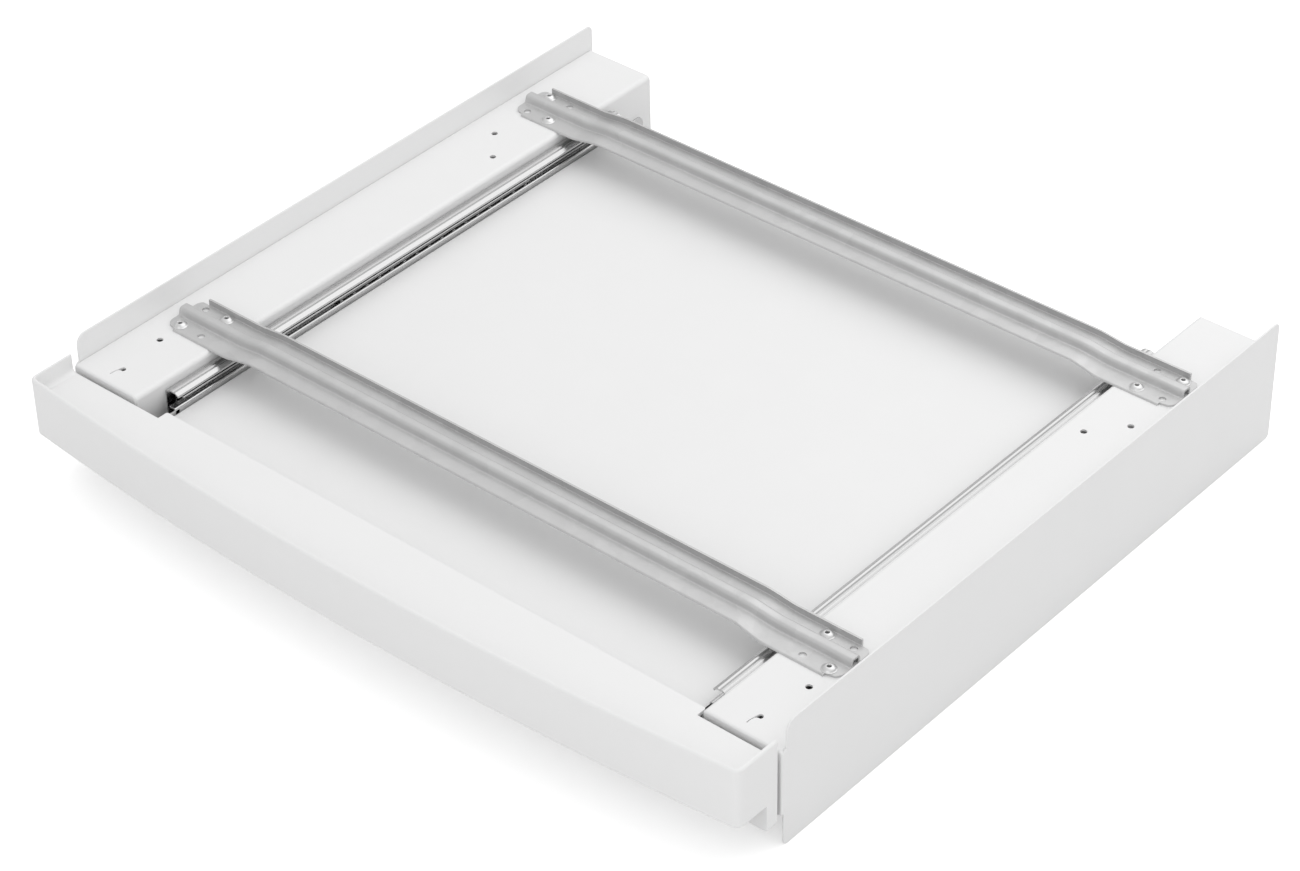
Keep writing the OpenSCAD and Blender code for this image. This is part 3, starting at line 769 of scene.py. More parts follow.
@dataclass
class Channels:
    """The two folded channels, each with a closed flat front and an open back."""

    bend_steps: int = 9
    edge: float = 0.3
    face_y: float = 1.7
    front_r: float = 1.65
    least_r: float = 0.2
    seam_gap: float = 0.35
    weld_bend: float = 0.5
    cut_low: float = -8.0
    cut_high: float = 4.0
    slot_low: float = -6.0
    slot_high: float = 3.0
    slot_lean: float = 2.8
    slot_l: float = 9.0
    slot_r: float = 2.1
    slot_x: float = 30.0
    slot_y: float = 18.2
    slot_handle: tuple[float, float] = (1.14, 0.27)
    slot_taper: float = 0.42
    slot_round: float = 1.3
    tail_r: float = 0.32

    @property
    def seam_y(self) -> float:
        """Where the closed front meets the folded body."""
        return KIT.plate_setback + self.seam_gap

    def rings(self, inset: float, radius: float, depth: float) -> Points:
        """The loops of one face of the closed front, from the seam forward round the bend.

        A loop shrinks by r (1 - cos t) while it comes forward by r sin t.

        Args:
            inset: how far the face lies inside the channel's outer face.
            radius: the radius of its bend.
            depth: where its flat front lies.

        Returns:
            The loops, loops by points by three.
        """
        k = KIT
        low, high = np.array([-k.half, -k.box_h]), np.array([-k.web_x, 0.0])
        loops = []
        for a in np.radians(np.linspace(0, 90, self.bend_steps)):
            shrink = inset + radius * (1 - math.cos(a))
            corner_r = max(k.bend_r - shrink, self.least_r)
            loop = round_loop(low + shrink, high - shrink, corner_r, self.bend_steps)
            loops.append(np.insert(loop, 1, depth + radius * (1 - math.sin(a)), axis=1))
        straight = loops[0].copy()
        straight[:, 1] = self.seam_y
        return np.array([straight, *loops])

    def front(self, skin: Skin) -> None:
        """Adds the closed front, a bent sheet between an outer and an inner stack of loops."""
        t = KIT.sheet_t
        skin.shell(self.rings(0.0, self.front_r, self.face_y),
                   self.rings(t, self.front_r - t, self.face_y + t), rim_row=0, lid_row=-1)

    def body(self, skin: Skin) -> None:
        """Adds the folded part: its section runs from the weld flange over the top and web to the foot.

        Args:
            skin: takes the patches.
        """
        k = KIT
        half = k.sheet_t / 2
        x0, x1, low = -(k.half - k.plate_t) + half, -k.web_x - half, -k.box_h + half
        path = bent_path([(x0, -k.weld_h), (x0, -half), (x1, -half), (x1, low), (-k.web_x - k.foot_w, low)],
                         [self.weld_bend, k.bend_r - half, k.bend_r - half], self.bend_steps)
        ends = (self.seam_y, k.channel_rear_y)
        upper, lower = (np.stack([np.insert(face, 1, y, axis=1) for y in ends])
                        for face in both_faces(path, k.sheet_t))
        skin.sheet(upper, lower)

    def openings(self, side: Side) -> Skin:
        """The holes in the top, as closed shapes to take away.

        Args:
            side: which side it is on.

        Returns:
            The closed shapes.
        """
        k = KIT
        cutters = Skin("channel_openings")
        for x, y in ((k.hole_x, k.spare_front_y), (k.hole_x - k.hole_dx, k.spare_rear_y),
                     (k.hole_x, k.spare_rear_y + k.hole_dy)):
            cutters.turned(bore(k.spare_r, self.cut_low, self.cut_high), (-x, y, 0.0), 32)
        cutters.bar(self.slot(side), np.array([self.slot_low, self.slot_high]), axis=2)
        return cutters

    def slot(self, side: Side) -> Points:
        """The slot's outline: a round end that narrows to a tail along an arc.

        The middle is the curve 2 t (1 - t) b + t^2 c, and its half width falls from the slot's radius to the
        tail's. The slot turns the same way on both sides, so on the right it is drawn turned over.

        Args:
            side: which side it is on.

        Returns:
            The outline's points, X and Y.
        """
        lean = -1.0 if side is Side.LEFT else 1.0
        t = np.linspace(0.0, 1.0, 15)[:, None]
        bend = np.array([lean * self.slot_lean * self.slot_handle[0], -self.slot_l * self.slot_handle[1]])
        tip = np.array([lean * self.slot_lean, -self.slot_l])
        middle = 2 * t * (1 - t) * bend + t**2 * tip
        slope = 2 * (1 - 2 * t) * bend + 2 * t * tip
        normal = np.column_stack((-slope[:, 1], slope[:, 0])) / np.linalg.norm(slope, axis=1)[:, None]
        narrowing = np.clip(1 - t / self.slot_taper, 0.0, 1.0) ** self.slot_round
        half = self.tail_r + (self.slot_r - self.tail_r) * narrowing
        turn = math.atan2(-bend[1], -bend[0]) + math.pi / 2 - np.linspace(0.0, math.pi, 9)[1:-1, None]
        cap = self.slot_r * np.hstack((np.cos(turn), np.sin(turn)))
        loop = np.vstack((middle + normal * half, (middle - normal * half)[::-1], cap))
        return loop + np.array([self.slot_x - KIT.half, self.slot_y])

    def on_seam(self, middles: Points) -> Points:
        """Which of the points, in metres, lie on the seam, whose edges stay sharp."""
        return np.abs(middles[:, 1] - KIT.place([0.0, self.seam_y, 0.0])[1]) < 1e-5

    def build(self, side: Side) -> None:
        """Builds one channel as a folded body and a closed front.

        Args:
            side: which side it is on.
        """
        body, front = Skin(f"{side.word}_channel_skin"), Skin(f"{side.word}_channel_front")
        self.body(body)
        self.front(front)
        cutters = self.openings(side)
        if side is Side.RIGHT:
            for skin in (body, front, cutters):
                skin.mirrored()
        body_piece, front_piece = body.build(), front.build()
        pierce(body_piece, cutters)
        for piece in (body_piece, front_piece):
            soften(piece, self.edge, 2, keep=self.on_seam)
        put(body_piece, "frame", WHITE_PAINT, f"{side.word}_channel")
        put(front_piece, "frame", WHITE_PAINT)


@dataclass
class Braces:
    """The two zinc braces that join the channels, each one long pressed strip."""

    width: float = 36.8
    thickness: float = 1.5
    tip_gap: float = 14.8
    tip_r: float = 7.0
    tip_step_l: float = 9.2
    tip_step: float = 2.4
    roll_r: float = 1.35
    slope: float = 1.3
    rib_h: float = 7.0
    flange_h: float = 6.0
    rib_w: float = 8.6
    rib_y: float = 15.2
    rib_r: float = 2.7
    foot_r: float = 1.3
    flange_r: float = 2.0
    flange_cut: float = 7.8
    lift: float = 2.4
    step: float = 2.3
    rise_from_side: float = 73.0
    rise_l: float = 20.0
    rise_margin: float = 6.0
    strip_share: float = 0.62
    edge: float = 0.25
    edge_rows: tuple[float, ...] = (0.0, 0.2, 0.5, 0.9, 1.3)
    pitch: float = 1.2
    cut_low: float = -3.0
    cut_high: float = 4.0

    @property
    def tip_x(self) -> float:
        """Distance of a tip from the middle."""
        return KIT.half - self.tip_gap

    @property
    def rise_x(self) -> float:
        """Distance of the rise's outer end from the middle."""
        return KIT.half - self.rise_from_side

    def section(self) -> Points:
        """The middle of the sheet across the brace, Y and Z: strip, rib, strip and upright rear flange.

        Returns:
            The path's points, Y and Z.
        """
        half, lean = self.thickness / 2, self.slope / 2
        top, rear = self.rib_h - half, self.width - half
        y0, y1 = self.rib_y + half, self.rib_y + self.rib_w - half
        corners = [(0.0, half), (y0 - lean, half), (y0 + lean, top), (y1, top), (y1, half), (rear, half),
                   (rear, self.flange_h)]
        crown = self.rib_r - half
        radii = [self.foot_r * 1.5, crown, crown, self.foot_r, self.flange_r - half]
        path = bent_path(corners, radii, pitch=self.pitch)
        front = [[y, half] for y in self.edge_rows]
        return np.vstack((front, path[path[:, 0] > self.edge_rows[-1] + 0.2]))

    def ends(self, path: Points) -> Points:
        """Where each point of the section ends: round corners on the strip, and a flange that stops short.

        Args:
            path: the middle of the sheet across the brace, Y and Z.

        Returns:
            Each point's distance from the middle.
        """
        y, z = path[:, 0], path[:, 1]
        into = np.maximum(self.tip_r + self.tip_step - y, y - (self.width - self.tip_r))
        into = np.clip(into, 0.0, self.tip_r)
        corner = self.tip_x - self.tip_r + np.sqrt(self.tip_r**2 - into**2)
        corner = np.where(y < self.tip_step, self.tip_x - self.tip_step_l, corner)
        on_flange = (y > self.rib_y + self.rib_w + 2 * self.foot_r) & (z > self.thickness * self.strip_share)
        return np.where(on_flange, self.tip_x - self.flange_cut, corner)

    def stations(self, path: Points) -> Points:
        """Places along X for each point of the section, closer together on the rise and at the tip.

        Args:
            path: the middle of the sheet across the brace, Y and Z.

        Returns:
            The places, a row for each station and a column for each point.
        """
        start, end = self.rise_x - self.rise_l, self.rise_x + self.rise_margin
        before = start - self.rise_margin
        inner = np.r_[np.linspace(0, before - 2, 12), np.linspace(before, end, 40)]
        towards_tip = np.r_[np.linspace(0.08, 0.86, 8), np.linspace(0.9, 1.0, 6)]
        outer = end + towards_tip[:, None] * (self.ends(path)[None, :] - end)
        half = np.vstack((np.repeat(inner[:, None], len(path), axis=1), outer))
        return np.vstack((-half[:0:-1], half))

    def face(self, face: Points, x: Points) -> Points:
        """One face of the brace: the section carried along X and raised in the middle.

        Args:
            face: one face of the section, Y and Z.
            x: the stations, one row for each place along the brace.

        Returns:
            The face's points, rows by columns by three.
        """
        share = blurred_ramp((self.rise_x - np.abs(x)) / self.rise_l)
        strip_w = self.rib_y - self.foot_r - 2.0
        drawn_back = self.step * np.clip(1.0 - face[:, 0] / strip_w, 0.0, 1.0)
        y = face[:, 0] + drawn_back * share
        dip = np.clip(self.roll_r - face[:, 0], 0.0, self.roll_r)
        on_top = face[:, 1] > self.thickness * self.strip_share
        roll = (self.roll_r - np.sqrt(self.roll_r**2 - dip**2)) * on_top
        return np.stack((x, y, face[:, 1] - roll + self.lift * share), axis=-1)

    def build(self, name: str, front_y: float) -> None:
        """Builds one brace.

        Args:
            name: front or rear.
            front_y: where its front edge lies.
        """
        k = KIT
        path = self.section()
        upper, lower = both_faces(path, self.thickness)
        x = self.stations(path)
        skin = Skin(f"{name}_brace_skin")
        shift = np.array([0.0, front_y, 0.0])
        skin.sheet(self.face(upper, x) + shift, self.face(lower, x) + shift)
        cutters = Skin(f"{name}_brace_holes")
        for sign, column, row in itertools.product((-1, 1), (0, 1), (0, 1)):
            place = (sign * (k.hole_x - column * k.hole_dx), front_y + k.hole_y + row * k.hole_dy, 0.0)
            cutters.turned(bore(k.hole_r, self.cut_low, self.cut_high), place, 32)
        brace = skin.build()
        pierce(brace, cutters)
        soften(brace, self.edge, 2)
        put(brace, "frame", DIPPED_ZINC, f"{name}_brace")


@dataclass
class BraceRivets:
    """Eight blind rivets with a low dome, a thin brim and the hollow that the pulled pin leaves."""

    brim_r: float = 5.1
    brim_h: float = 0.5
    dome_r: float = 4.5
    dome_h: float = 2.3
    hollow_r: float = 1.55
    hollow_d: float = 4.2
    pin_d: float = 0.9
    shank_r: float = 2.5
    tail_r: float = 3.4
    tail_h: float = 4.0
    sheet: float = 1.5

    def profile(self) -> Points:
        """Half the rivet's section from the hollow's floor, over the dome and brim, down to the tail.

        The dome is z = (1 - t^1.6)^0.85 over its width. Small steps beside the named sizes round its rims.

        Returns:
            The profile's points, distance from the axis and height.
        """
        s = self.sheet
        top, brim, tail = s + self.dome_h, s + self.brim_h, -KIT.sheet_t
        t = np.linspace(0.0, 1.0, 9)
        dome_x = self.hollow_r + 0.25 + (self.dome_r - self.hollow_r - 0.25) * t
        dome_z = brim + (self.dome_h - self.brim_h) * np.clip(1.0 - t**1.6, 0.0, 1.0) ** 0.85
        return np.vstack((
            [[0.0, top - self.hollow_d], [self.hollow_r * 0.8, top - self.hollow_d],
             [self.hollow_r, top - 0.15], [self.hollow_r + 0.1, top - 0.03]],
            np.column_stack((dome_x, dome_z)),
            [[self.dome_r + 0.15, brim - 0.12], [self.brim_r - 0.15, brim - 0.16],
             [self.brim_r, s + self.brim_h * 0.4], [self.brim_r - 0.05, s + 0.02], [self.shank_r, s]],
            [[self.shank_r, tail], [self.tail_r, tail - 0.6], [self.tail_r, tail - self.tail_h + 1.0],
             [self.tail_r * 0.6, tail - self.tail_h], [0.0, tail - self.tail_h]],
        ))

    def build(self) -> None:
        """Builds the eight heads as one piece, and the broken pins in their hollows as another."""
        k = KIT
        skin, pins = Skin("brace_rivet_heads"), Skin("brace_rivet_pins")
        profile = self.profile()
        low = self.sheet + self.dome_h - self.hollow_d - 0.1
        high = self.sheet + self.dome_h - self.pin_d
        pin_r = self.hollow_r - 0.02
        face_r = self.hollow_r - 0.3
        pin = np.array([[0.0, low], [pin_r, low], [pin_r, high - 0.15], [face_r, high], [0.0, high]])
        for front_y, outer_row in ((k.front_brace_y, 0), (k.rear_brace_y, 1)):
            for sign, column in itertools.product((-1, 1), (0, 1)):
                row = abs(outer_row - column)
                place = (sign * (k.hole_x - column * k.hole_dx), front_y + k.hole_y + row * k.hole_dy, 0.0)
                skin.turned(profile, place, 40)
                pins.turned(pin, place, 24)
        heads = skin.build()
        heads.data.shade_smooth()
        heads.data.set_sharp_from_angle(angle=math.radians(50))
        put(heads, "frame", RIVET_STEEL, "brace_rivets")
        # The pins' near-black finish is painted shade for the rivets' hollows.
        put(pins.build(), "frame", PIN_STEEL_PAINTED_SHADE)


# The slides


@dataclass
class Slides:
    """The two ball slides of three rolled rails, drawn out from the web (u) and up from the middle (v)."""

    height: float = 45.0
    length: float = 442.0
    front_y: float = 26.5
    sheet: float = 1.1
    foot_gap: float = 0.3
    ball_u: float = 7.6
    middle_u: float = 4.0
    middle_v: float = 17.7
    middle_lip_u: float = 11.9
    middle_sheet: float = 1.2
    inner_ball_u: float = 8.6
    inner_v: float = 12.9
    inner_lip_u: float = 7.0
    middle_setback: float = 5.0
    inner_lead: float = 3.5
    plate_lead: float = 11.0
    buffer_l: float = 8.0
    tab_l: float = 36.0
    tab_h: float = 19.0
    tab_root: float = 6.0
    edge: float = 0.12
    arch_u: tuple[float, ...] = (-4.0, -2.6, -1.1, 0.4, 1.9)
    arch_h: float = 1.1
    groove_d: float = 0.3
    lip_inset: float = 0.6
    lip_drop: float = 0.4
    lip_l: float = 1.0
    race_half: float = 1.3
    middle_race_d: float = 0.28
    inner_race_d: float = 0.45
    inner_race_in: float = 1.2
    inner_lip_rise: float = 0.1
    lead_inset: float = 1.2
    lead_r: float = 1.5
    buffer_gap: float = 1.2

    @property
    def middle_z(self) -> float:
        """Height of the slides' middle."""
        return -self.height / 2 - (KIT.box_h - self.height) + self.foot_gap

    @property
    def rear_y(self) -> float:
        """Where the outer rails' races end."""
        return self.front_y + self.length

    @staticmethod
    def loop(path: Points, thickness: float) -> Points:
        """A closed outline round a sheet whose middle follows a path."""
        left, right = both_faces(path, thickness)
        return np.vstack((left, right[::-1]))

    @staticmethod
    def mirrored_path(upper: Sequence[Sequence[float]], radii: Sequence[float]) -> Points:
        """A path that is the same above and below the slide's middle.

        Args:
            upper: the corners of the upper half, from the web's middle out.
            radii: one radius for each corner but the first and last.

        Returns:
            The whole path, from the lower end to the upper end.
        """
        corners = np.asarray(upper, float)
        lower = corners[::-1] * np.array([1.0, -1.0])
        return bent_path(np.vstack((lower[:-1], corners[1:])), list(radii[::-1]) + list(radii), 9)

    def outer_path(self) -> Points:
        """The outer rail: web, round shoulder, an arch over the balls and a turned-down lip.

        Returns:
            The middle of its sheet, u and v.
        """
        s, top = self.sheet / 2, self.height / 2 - self.sheet / 2
        low, edge = top - self.arch_h, KIT.slide_d - self.lip_inset
        foot, rise, first, groove, second = (self.ball_u + u for u in self.arch_u)
        return self.mirrored_path(
            [(s, 0.0), (s, low), (foot, low), (rise, top), (first, top), (groove, top - self.groove_d),
             (second, top), (edge, low - self.lip_drop), (edge, low - self.lip_drop - self.lip_l)],
            [1.2, 0.9, 0.7, 0.7, 1.2, 1.2, 0.7])

    def middle_path(self) -> Points:
        """The middle rail: web, a shoulder, a shallow race and a raised lip.

        Returns:
            The middle of its sheet, u and v.
        """
        u, v = self.middle_u + self.middle_sheet / 2, self.middle_v - self.middle_sheet / 2
        return self.mirrored_path(
            [(u, 0.0), (u, v), (self.ball_u - self.race_half, v), (self.ball_u, v - self.middle_race_d),
             (self.ball_u + self.race_half, v), (self.middle_lip_u, v)],
            [1.1, 1.6, 1.6, 1.6])

    def inner_path(self) -> Points:
        """The inner rail: a plate towards the shelf, a shoulder and a flange hollowed for the balls.

        Returns:
            The middle of its sheet, u and v.
        """
        u, v, ball = KIT.slide_d - self.sheet / 2, self.inner_v - self.sheet / 2, self.inner_ball_u
        lip = v + self.inner_lip_rise
        return self.mirrored_path(
            [(u, 0.0), (u, v), (ball + self.race_half, v), (ball, v - self.inner_race_d),
             (ball - self.inner_race_in, lip), (self.inner_lip_u, lip)],
            [1.2, 1.2, 1.5, 1.0])

    def rail(self, name: str, side: Side, path: Points, thickness: float, y0: float, y1: float, body: str,
             node: str, extra: Optional[Callable[[Skin], None]] = None) -> None:
        """Builds one rail: its outline carried along Y.

        Args:
            name: the piece's name.
            side: which side it is on.
            path: the middle of its sheet, u and v.
            thickness: the sheet's thickness.
            y0: its front end.
            y1: its rear end.
            body: the body it rides on.
            node: the CAD node it stands for.
            extra: adds further patches in the left rail's place.
        """
        skin = Skin(name)
        outline = self.loop(path, thickness) + np.array([-KIT.web_x, self.middle_z])
        skin.bar(outline, np.array([y0, y1]), axis=1)
        if extra is not None:
            extra(skin)
        if side is Side.RIGHT:
            skin.mirrored()
        piece = skin.build()
        soften(piece, self.edge, 1, limit=60.0)
        put(piece, body, BRIGHT_RAIL, node)

    def tab(self, skin: Skin) -> None:
        """Adds the outer rail's plain tab behind its races.

        Args:
            skin: takes the patches.
        """
        x = -KIT.web_x
        loop = round_loop((self.rear_y - self.tab_root, self.middle_z - self.tab_h),
                          (self.rear_y + self.tab_l, self.middle_z), self.tab_h / 3)
        skin.bar(loop, np.array([x, x + self.sheet]), axis=0)

    def lead(self, skin: Skin) -> None:
        """Adds the plate of the inner rail that reaches under the front ledge.

        Args:
            skin: takes the patches.
        """
        x = -KIT.shelf_x
        reach = self.inner_v - self.lead_inset
        loop = round_loop((self.front_y - self.plate_lead, self.middle_z - reach),
                          (self.front_y, self.middle_z + reach), self.lead_r)
        skin.bar(loop, np.array([x - self.sheet, x]), axis=0)

    def build(self, side: Side) -> None:
        """Builds the rails of one side, and dresses the cages and balls that the frame brings.

        Args:
            side: which side it is on.
        """
        w = side.word
        moving_rear = self.rear_y - self.buffer_l - self.buffer_gap
        self.rail(f"{w}_outer_rail_skin", side, self.outer_path(), self.sheet, self.front_y, self.rear_y,
                  "frame", f"{w}_outer_rail", self.tab)
        self.rail(f"{w}_middle_rail_skin", side, self.middle_path(), self.middle_sheet,
                  self.front_y + self.middle_setback, moving_rear, f"{w}_middle", f"{w}_middle_rail")
        self.rail(f"{w}_inner_rail_skin", side, self.inner_path(), self.sheet, self.front_y - self.inner_lead,
                  moving_rear, "shelf", f"{w}_inner_rail", self.lead)
        for row in ("outer", "inner"):
            dress_node(f"{w}_{row}_cage", CAGE_STEEL)
            dress_node(f"{w}_{row}_balls", BALL_STEEL)
            frame["nodes"][f"{w}_{row}_balls"].data.shade_smooth()


# The shelf and its front


@dataclass
class Shelf:
    """The pull-out shelf: one flat tray with its four sides folded down."""

    sheet: float = 1.2
    flange_h: float = 22.0
    bend_r: float = 2.0
    corner_r: float = 2.5
    edge: float = 0.25
    front_y: float = -9.6
    rear_y: float = 462.0

    def rings(self, inset: float) -> Points:
        """The loops of one face: down the flange's bend, which is a quarter circle, and on to its lower edge.

        Args:
            inset: how far the face lies inside the tray's outer face.

        Returns:
            The loops, from the top's edge to the flange's lower edge.
        """
        r = self.bend_r - inset
        bend = np.radians(np.linspace(90, 0, 8))
        shrinks = np.r_[inset + r * (1 - np.cos(bend)), inset]
        heights = -KIT.shelf_drop - np.r_[inset + r * (1 - np.sin(bend)), self.flange_h]
        low, high = np.array([-KIT.shelf_x, self.front_y]), np.array([KIT.shelf_x, self.rear_y])
        loops = [round_loop(low + s, high - s, self.corner_r + self.bend_r - s) for s in shrinks]
        return np.array([np.insert(loop, 2, z, axis=1) for loop, z in zip(loops, heights)])

    def build(self) -> None:
        """Builds the tray."""
        skin = Skin("tray_skin")
        skin.shell(self.rings(0.0), self.rings(self.sheet), rim_row=-1, lid_row=0)
        tray = skin.build()
        soften(tray, self.edge, 2)
        put(tray, "shelf", WHITE_PAINT, "shelf_tray")


@dataclass
class Front:
    """The moulded front: a bowed band with side walls, a recessed ledge and cheeks beside the beam."""

    half: float = 299.0
    bow_r: float = 3000.0
    rim_h: float = 11.0
    band_h: float = 45.0
    wall: float = 2.5
    corner_r: float = 5.5
    ledge_drop: float = 3.0
    ledge_reach: float = 6.4
    left_notch: float = 24.0
    right_notch: float = 1.2
    beam_d: float = 9.5
    beam_drop: float = 53.5
    lip_r: float = 2.0
    least_r: float = 0.3
    edge: float = 0.35
    root: float = 0.6
    rib_r: float = 1.5
    cheek_r: float = 2.2
    cheek_step_r: float = 0.6
    fillet_r: float = 4.0
    ribs: int = 6
    rib_h: float = 7.0

    def plan(self, inset: float = 0.0) -> Points:
        """The front seen from above, from the right wall's rear round the bow to the left wall's rear.

        The bow is a circle, x^2 + (y - c)^2 = R^2 with c = R - reach, and each corner is a circle of radius r
        that touches the bow and the side wall.

        Args:
            inset: how far the line lies inside the outer face.

        Returns:
            The line's points, X and Y.
        """
        big = self.bow_r - inset
        centre_y = self.bow_r - KIT.front_reach
        r = max(self.corner_r - inset, self.least_r)
        corner_x = self.half - self.corner_r
        corner_y = centre_y - math.sqrt((self.bow_r - self.corner_r) ** 2 - corner_x**2)
        lean = math.degrees(math.asin(corner_x / (self.bow_r - self.corner_r)))
        right = arc((corner_x, corner_y), r, 0, -90 + lean, 13)
        bow = arc((0.0, centre_y), big, -90 + lean, -90 - lean, 81)[1:-1]
        left = arc((-corner_x, corner_y), r, -90 - lean, -180, 13)
        end, rear = self.half - inset, -KIT.front_gap
        return np.vstack(([[end, rear]], right, bow, left, [[-end, rear]]))

    def carry(self, skin: Skin, sections: Points, lines: list[Points]) -> None:
        """Adds a closed section carried along the plan, with a lid at each end.

        Args:
            skin: takes the patch.
            sections: for each place along the plan, the loop's inset and height, places by points by two.
            lines: the plan at each of the section's insets, in the same order as the section's points.
        """
        points = np.stack([np.column_stack((line, sections[:, k, 1])) for k, line in enumerate(lines)])
        m, n = points.shape[:2]
        faces = grid_faces(m, n, close_rows=True).tolist()
        faces.append((np.arange(m) * n).tolist())
        faces.append((np.arange(m) * n + n - 1).tolist()[::-1])
        skin.add(points, faces)

    def band(self, skin: Skin) -> None:
        """Adds the band: an upright section with round edges, deeper where it covers the beam's ends.

        Args:
            skin: takes the patches.
        """
        rear, beam_front = -KIT.front_gap, -KIT.front_gap - self.beam_d
        low, bend, step = -self.beam_drop, self.cheek_r, self.cheek_step_r
        bottom = self.rim_h - self.band_h
        turn = np.radians(np.linspace(0, 90, 6))
        y = np.r_[rear, rear - bend * 0.3, rear - bend, beam_front + step * (1 - np.sin(turn)), beam_front]
        z = np.r_[low + bend, low + bend * 0.3, low, low + step * (1 - np.cos(turn)), bottom]
        bottoms = np.concatenate((z, np.full(len(self.plan()) - 2, bottom), z[::-1]))
        out, inner = self.lip_r, self.lip_r / 4
        corner = np.vstack((
            arc((out, out), out, 180, 270, 7), arc((self.wall - inner, inner), inner, 270, 360, 5),
            arc((self.wall - inner, 2 * out - inner), inner, 0, 90, 5), arc((out, out), out, 90, 180, 7),
        ))
        upper = np.arange(len(corner)) >= len(corner) // 2
        height = np.where(upper[None, :], self.rim_h - 2 * out + corner[None, :, 1],
                          bottoms[:, None] + corner[None, :, 1])
        sections = np.stack((np.repeat(corner[None, :, 0], len(bottoms), axis=0), height), axis=-1)
        lines = []
        for inset in corner[:, 0]:
            line = self.plan(inset)
            side = np.column_stack((np.full(len(y), line[0, 0]), y))
            lines.append(np.vstack((side, line[1:-1], side[::-1] * np.array([-1.0, 1.0]))))
        self.carry(skin, sections, lines)

    def ledge(self, skin: Skin) -> None:
        """Adds the ledge between the walls, with the part that reaches over the shelf.

        Args:
            skin: takes the patches.
        """
        k = KIT
        rear = -k.front_gap
        line = self.plan(self.wall * 0.5)
        x_left, x_right = -k.web_x + self.left_notch, k.web_x - self.right_notch
        corners = [[x_left, rear], [x_left, self.ledge_reach], [x_right, self.ledge_reach], [x_right, rear]]
        back = bent_path(np.vstack((line[-1], corners, line[0])), [0.6, 1.2, 1.2, 0.6], 5)
        outline = np.vstack((line, back[1:-1]))
        top = -self.ledge_drop
        skin.bar(outline, np.array([top - self.wall, top]), axis=2)
        skirt = round_loop((x_left + 0.3, self.ledge_reach - self.wall),
                           (x_right - 0.3, self.ledge_reach - 0.02), 0.6)
        skin.bar(skirt, np.array([-KIT.shelf_drop, top - 0.1]), axis=2)

    def fillet(self, skin: Skin) -> None:
        """Adds the round inner corner between walls and ledge: a quarter circle carried round the plan.

        Args:
            skin: takes the patches.
        """
        r, top, wall = self.fillet_r, -self.ledge_drop, self.wall
        bend = arc((wall + r, top + r), r, 180, 270, 9)
        low, back = top - self.root, wall - self.root
        section = np.vstack((bend, [[wall + r, low], [back, low], [back, top + r]]))
        lines = [self.plan(inset) for inset in section[:, 0]]
        self.carry(skin, np.repeat(section[None], len(lines[0]), axis=0), lines)

    def rib_plates(self, skin: Skin) -> None:
        """Adds the ribs under the ledge.

        Args:
            skin: takes the patches.
        """
        under = -self.ledge_drop - self.wall
        beam_y = -KIT.front_gap - self.beam_d
        inside = self.half - self.wall
        for i in range(self.ribs):
            x = inside * ((2 * i + 1) / self.ribs - 1)
            bow = self.bow_r - KIT.front_reach - math.sqrt((self.bow_r - self.wall) ** 2 - x**2)
            front, low, high = bow - self.root, under - self.rib_h, under + 0.4
            outline = bent_path([(front, high), (front, low), (beam_y, low), (beam_y, high)],
                                [self.least_r, self.rib_r], 5)
            skin.bar(outline, np.array([x - self.wall / 2, x + self.wall / 2]), axis=0)

    def build(self) -> None:
        """Builds the front as one moulded piece."""
        skin = Skin("front_skin")
        for part in (self.band, self.ledge, self.fillet, self.rib_plates):
            part(skin)
        front = skin.build()
        soften(front, self.edge, 2, limit=55.0)
        put(front, "shelf", WHITE_MOULDING, "front_fascia")
        dress_node("front_beam", WHITE_PAINT)


class Fixings:
    """The screws, small rivets and buffers, which keep the CAD's shapes."""

    NODES = {
        "rail_rivets": RIVET_STEEL,
        "tray_screws": RIVET_STEEL,
        "beam_screws": RIVET_STEEL,
        "fascia_screws": RIVET_STEEL,
        "left_rail_buffer": BLACK_RUBBER,
        "right_rail_buffer": BLACK_RUBBER,
    }

    def build(self) -> None:
        """Dresses each node."""
        for name, finish in self.NODES.items():
            dress_node(name, finish)


# The studio

WHITE = (1.0, 1.0, 1.0, 1.0)
AIM = Vector((0.0, 0.0, 0.04))


@dataclass(frozen=True)
class Lamp:
    """A square soft lamp that looks at the object, in metres and watts."""

    name: str
    place: tuple[float, float, float]
    size: float
    power: float

    def hang(self) -> None:
        """Hangs the lamp in the scene."""
        data = bpy.data.lights.new(self.name, "AREA")
        data.shape = "SQUARE"
        data.size = self.size
        data.energy = self.power
        lamp = bpy.data.objects.new(self.name, data)
        lamp.location = self.place
        lamp.rotation_euler = (AIM - Vector(self.place)).to_track_quat("-Z", "Y").to_euler()
        bpy.context.scene.collection.objects.link(lamp)


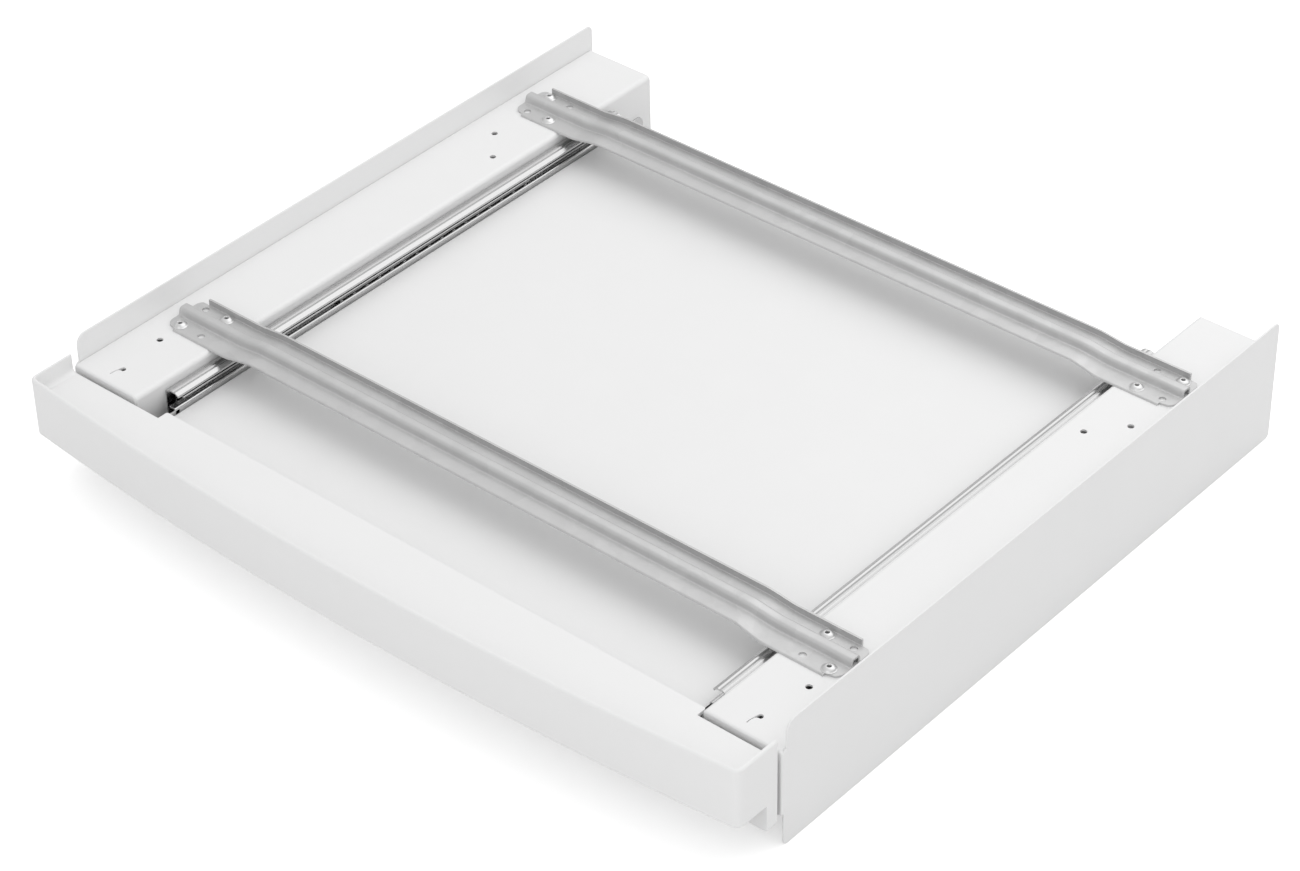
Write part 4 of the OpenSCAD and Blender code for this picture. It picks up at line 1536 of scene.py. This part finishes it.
@dataclass
class Studio:
    """The camera where the photograph was taken from, a pale floor and soft light."""

    azimuth: float = 41.34
    elevation: float = 37.025
    roll: float = -1.189
    eye: tuple[float, float, float] = (1295.4, -1239.0, 1428.3)
    lens: float = 102.92
    floor_size: float = 12.0
    floor_drop: float = 0.0002
    floor_grey: float = 0.86
    floor_glow: float = 0.5
    horizon: float = 0.62
    zenith: float = 0.88
    front_light: float = 0.86
    rear_light: float = 1.05
    lamps: tuple[Lamp, ...] = (Lamp("overhead", (0.25, 0.9, 1.4), 2.2, 9.6),
                               Lamp("corner_fill", (1.0, -2.6, 1.3), 2.6, 17.5))

    def camera(self) -> None:
        """Places the camera."""
        a, e, r = (math.radians(v) for v in (self.azimuth, self.elevation, self.roll))
        back = Vector((math.sin(a) * math.cos(e), -math.cos(a) * math.cos(e), math.sin(e)))
        right = Vector((math.cos(a), math.sin(a), 0.0))
        up = back.cross(right)
        across = right * math.cos(r) + up * math.sin(r)
        turned = Matrix((across, up * math.cos(r) - right * math.sin(r), back))
        data = bpy.data.cameras.new("photo_camera")
        data.sensor_fit = "HORIZONTAL"
        data.sensor_width = 36.0
        data.lens = self.lens
        data.clip_end = 100.0
        camera = bpy.data.objects.new("photo_camera", data)
        bpy.context.scene.collection.objects.link(camera)
        place = Vector(KIT.place(np.array(self.eye)))
        camera.matrix_world = Matrix.Translation(place) @ turned.transposed().to_4x4()
        bpy.context.scene.camera = camera

    def floor(self) -> None:
        """Builds the floor: pale, with a glow that makes it white to the camera, and it keeps the shadow."""
        n = self.floor_size / 2
        mesh = bpy.data.meshes.new("studio_floor")
        mesh.from_pydata([(-n, -n, 0), (n, -n, 0), (n, n, 0), (-n, n, 0)], [], [(0, 1, 2, 3)])
        floor = bpy.data.objects.new("studio_floor", mesh)
        floor.location.z = -self.floor_drop
        bpy.context.scene.collection.objects.link(floor)
        material = bpy.data.materials.new("studio_floor")
        material.use_nodes = True
        tree = material.node_tree
        shader = tree.nodes["Principled BSDF"]
        grey = self.floor_grey
        give(shader, {"Base Color": (grey, grey, grey, 1.0), "Roughness": 0.9, "Specular IOR Level": 0.0,
                      "Emission Color": WHITE})
        rays = tree.nodes.new("ShaderNodeLightPath")
        glow = tree.nodes.new("ShaderNodeMath")
        glow.operation = "MULTIPLY"
        glow.inputs[1].default_value = self.floor_glow
        tree.links.new(rays.outputs["Is Camera Ray"], glow.inputs[0])
        tree.links.new(glow.outputs[0], shader.inputs["Emission Strength"])
        mesh.materials.append(material)

    def world(self) -> None:
        """A soft room: bright above, dimmer towards the horizon, and white to the camera."""
        world = bpy.data.worlds.new("studio")
        bpy.context.scene.world = world
        world.use_nodes = True
        tree = world.node_tree
        nodes, links = tree.nodes, tree.links
        background = nodes["Background"]
        place = nodes.new("ShaderNodeTexCoord")
        split = nodes.new("ShaderNodeSeparateXYZ")
        links.new(place.outputs["Generated"], split.inputs[0])
        ramp = nodes.new("ShaderNodeMapRange")
        give(ramp, {"From Min": 0.05, "From Max": 0.9, "To Min": self.horizon, "To Max": self.zenith})
        links.new(split.outputs["Z"], ramp.inputs["Value"])
        depth = nodes.new("ShaderNodeMapRange")
        give(depth, {"From Min": -1.0, "To Min": self.front_light, "To Max": self.rear_light})
        links.new(split.outputs["Y"], depth.inputs["Value"])
        room = nodes.new("ShaderNodeMath")
        room.operation = "MULTIPLY"
        links.new(ramp.outputs["Result"], room.inputs[0])
        links.new(depth.outputs["Result"], room.inputs[1])
        rays = nodes.new("ShaderNodeLightPath")
        pick = nodes.new("ShaderNodeMix")
        links.new(rays.outputs["Is Camera Ray"], pick.inputs["Factor"])
        links.new(room.outputs["Value"], pick.inputs["A"])
        give(pick, {"B": 1.0})
        links.new(pick.outputs["Result"], background.inputs["Strength"])
        give(background, {"Color": WHITE})

    def build(self) -> None:
        """Builds the studio."""
        self.camera()
        self.floor()
        self.world()
        for lamp in self.lamps:
            lamp.hang()
        bpy.context.scene.view_settings.view_transform = "Standard"


def main() -> None:
    """Builds every sub-assembly in order."""
    logging.basicConfig(level=logging.INFO, format="%(name)s: %(message)s")
    Studio().build()
    for side in Side:
        SidePlates().build(side)
        Channels().build(side)
        Slides().build(side)
    for name, front_y in (("front", KIT.front_brace_y), ("rear", KIT.rear_brace_y)):
        Braces().build(name, front_y)
    BraceRivets().build()
    Shelf().build()
    Front().build()
    Fixings().build()


if __name__ == "__main__":
    main()
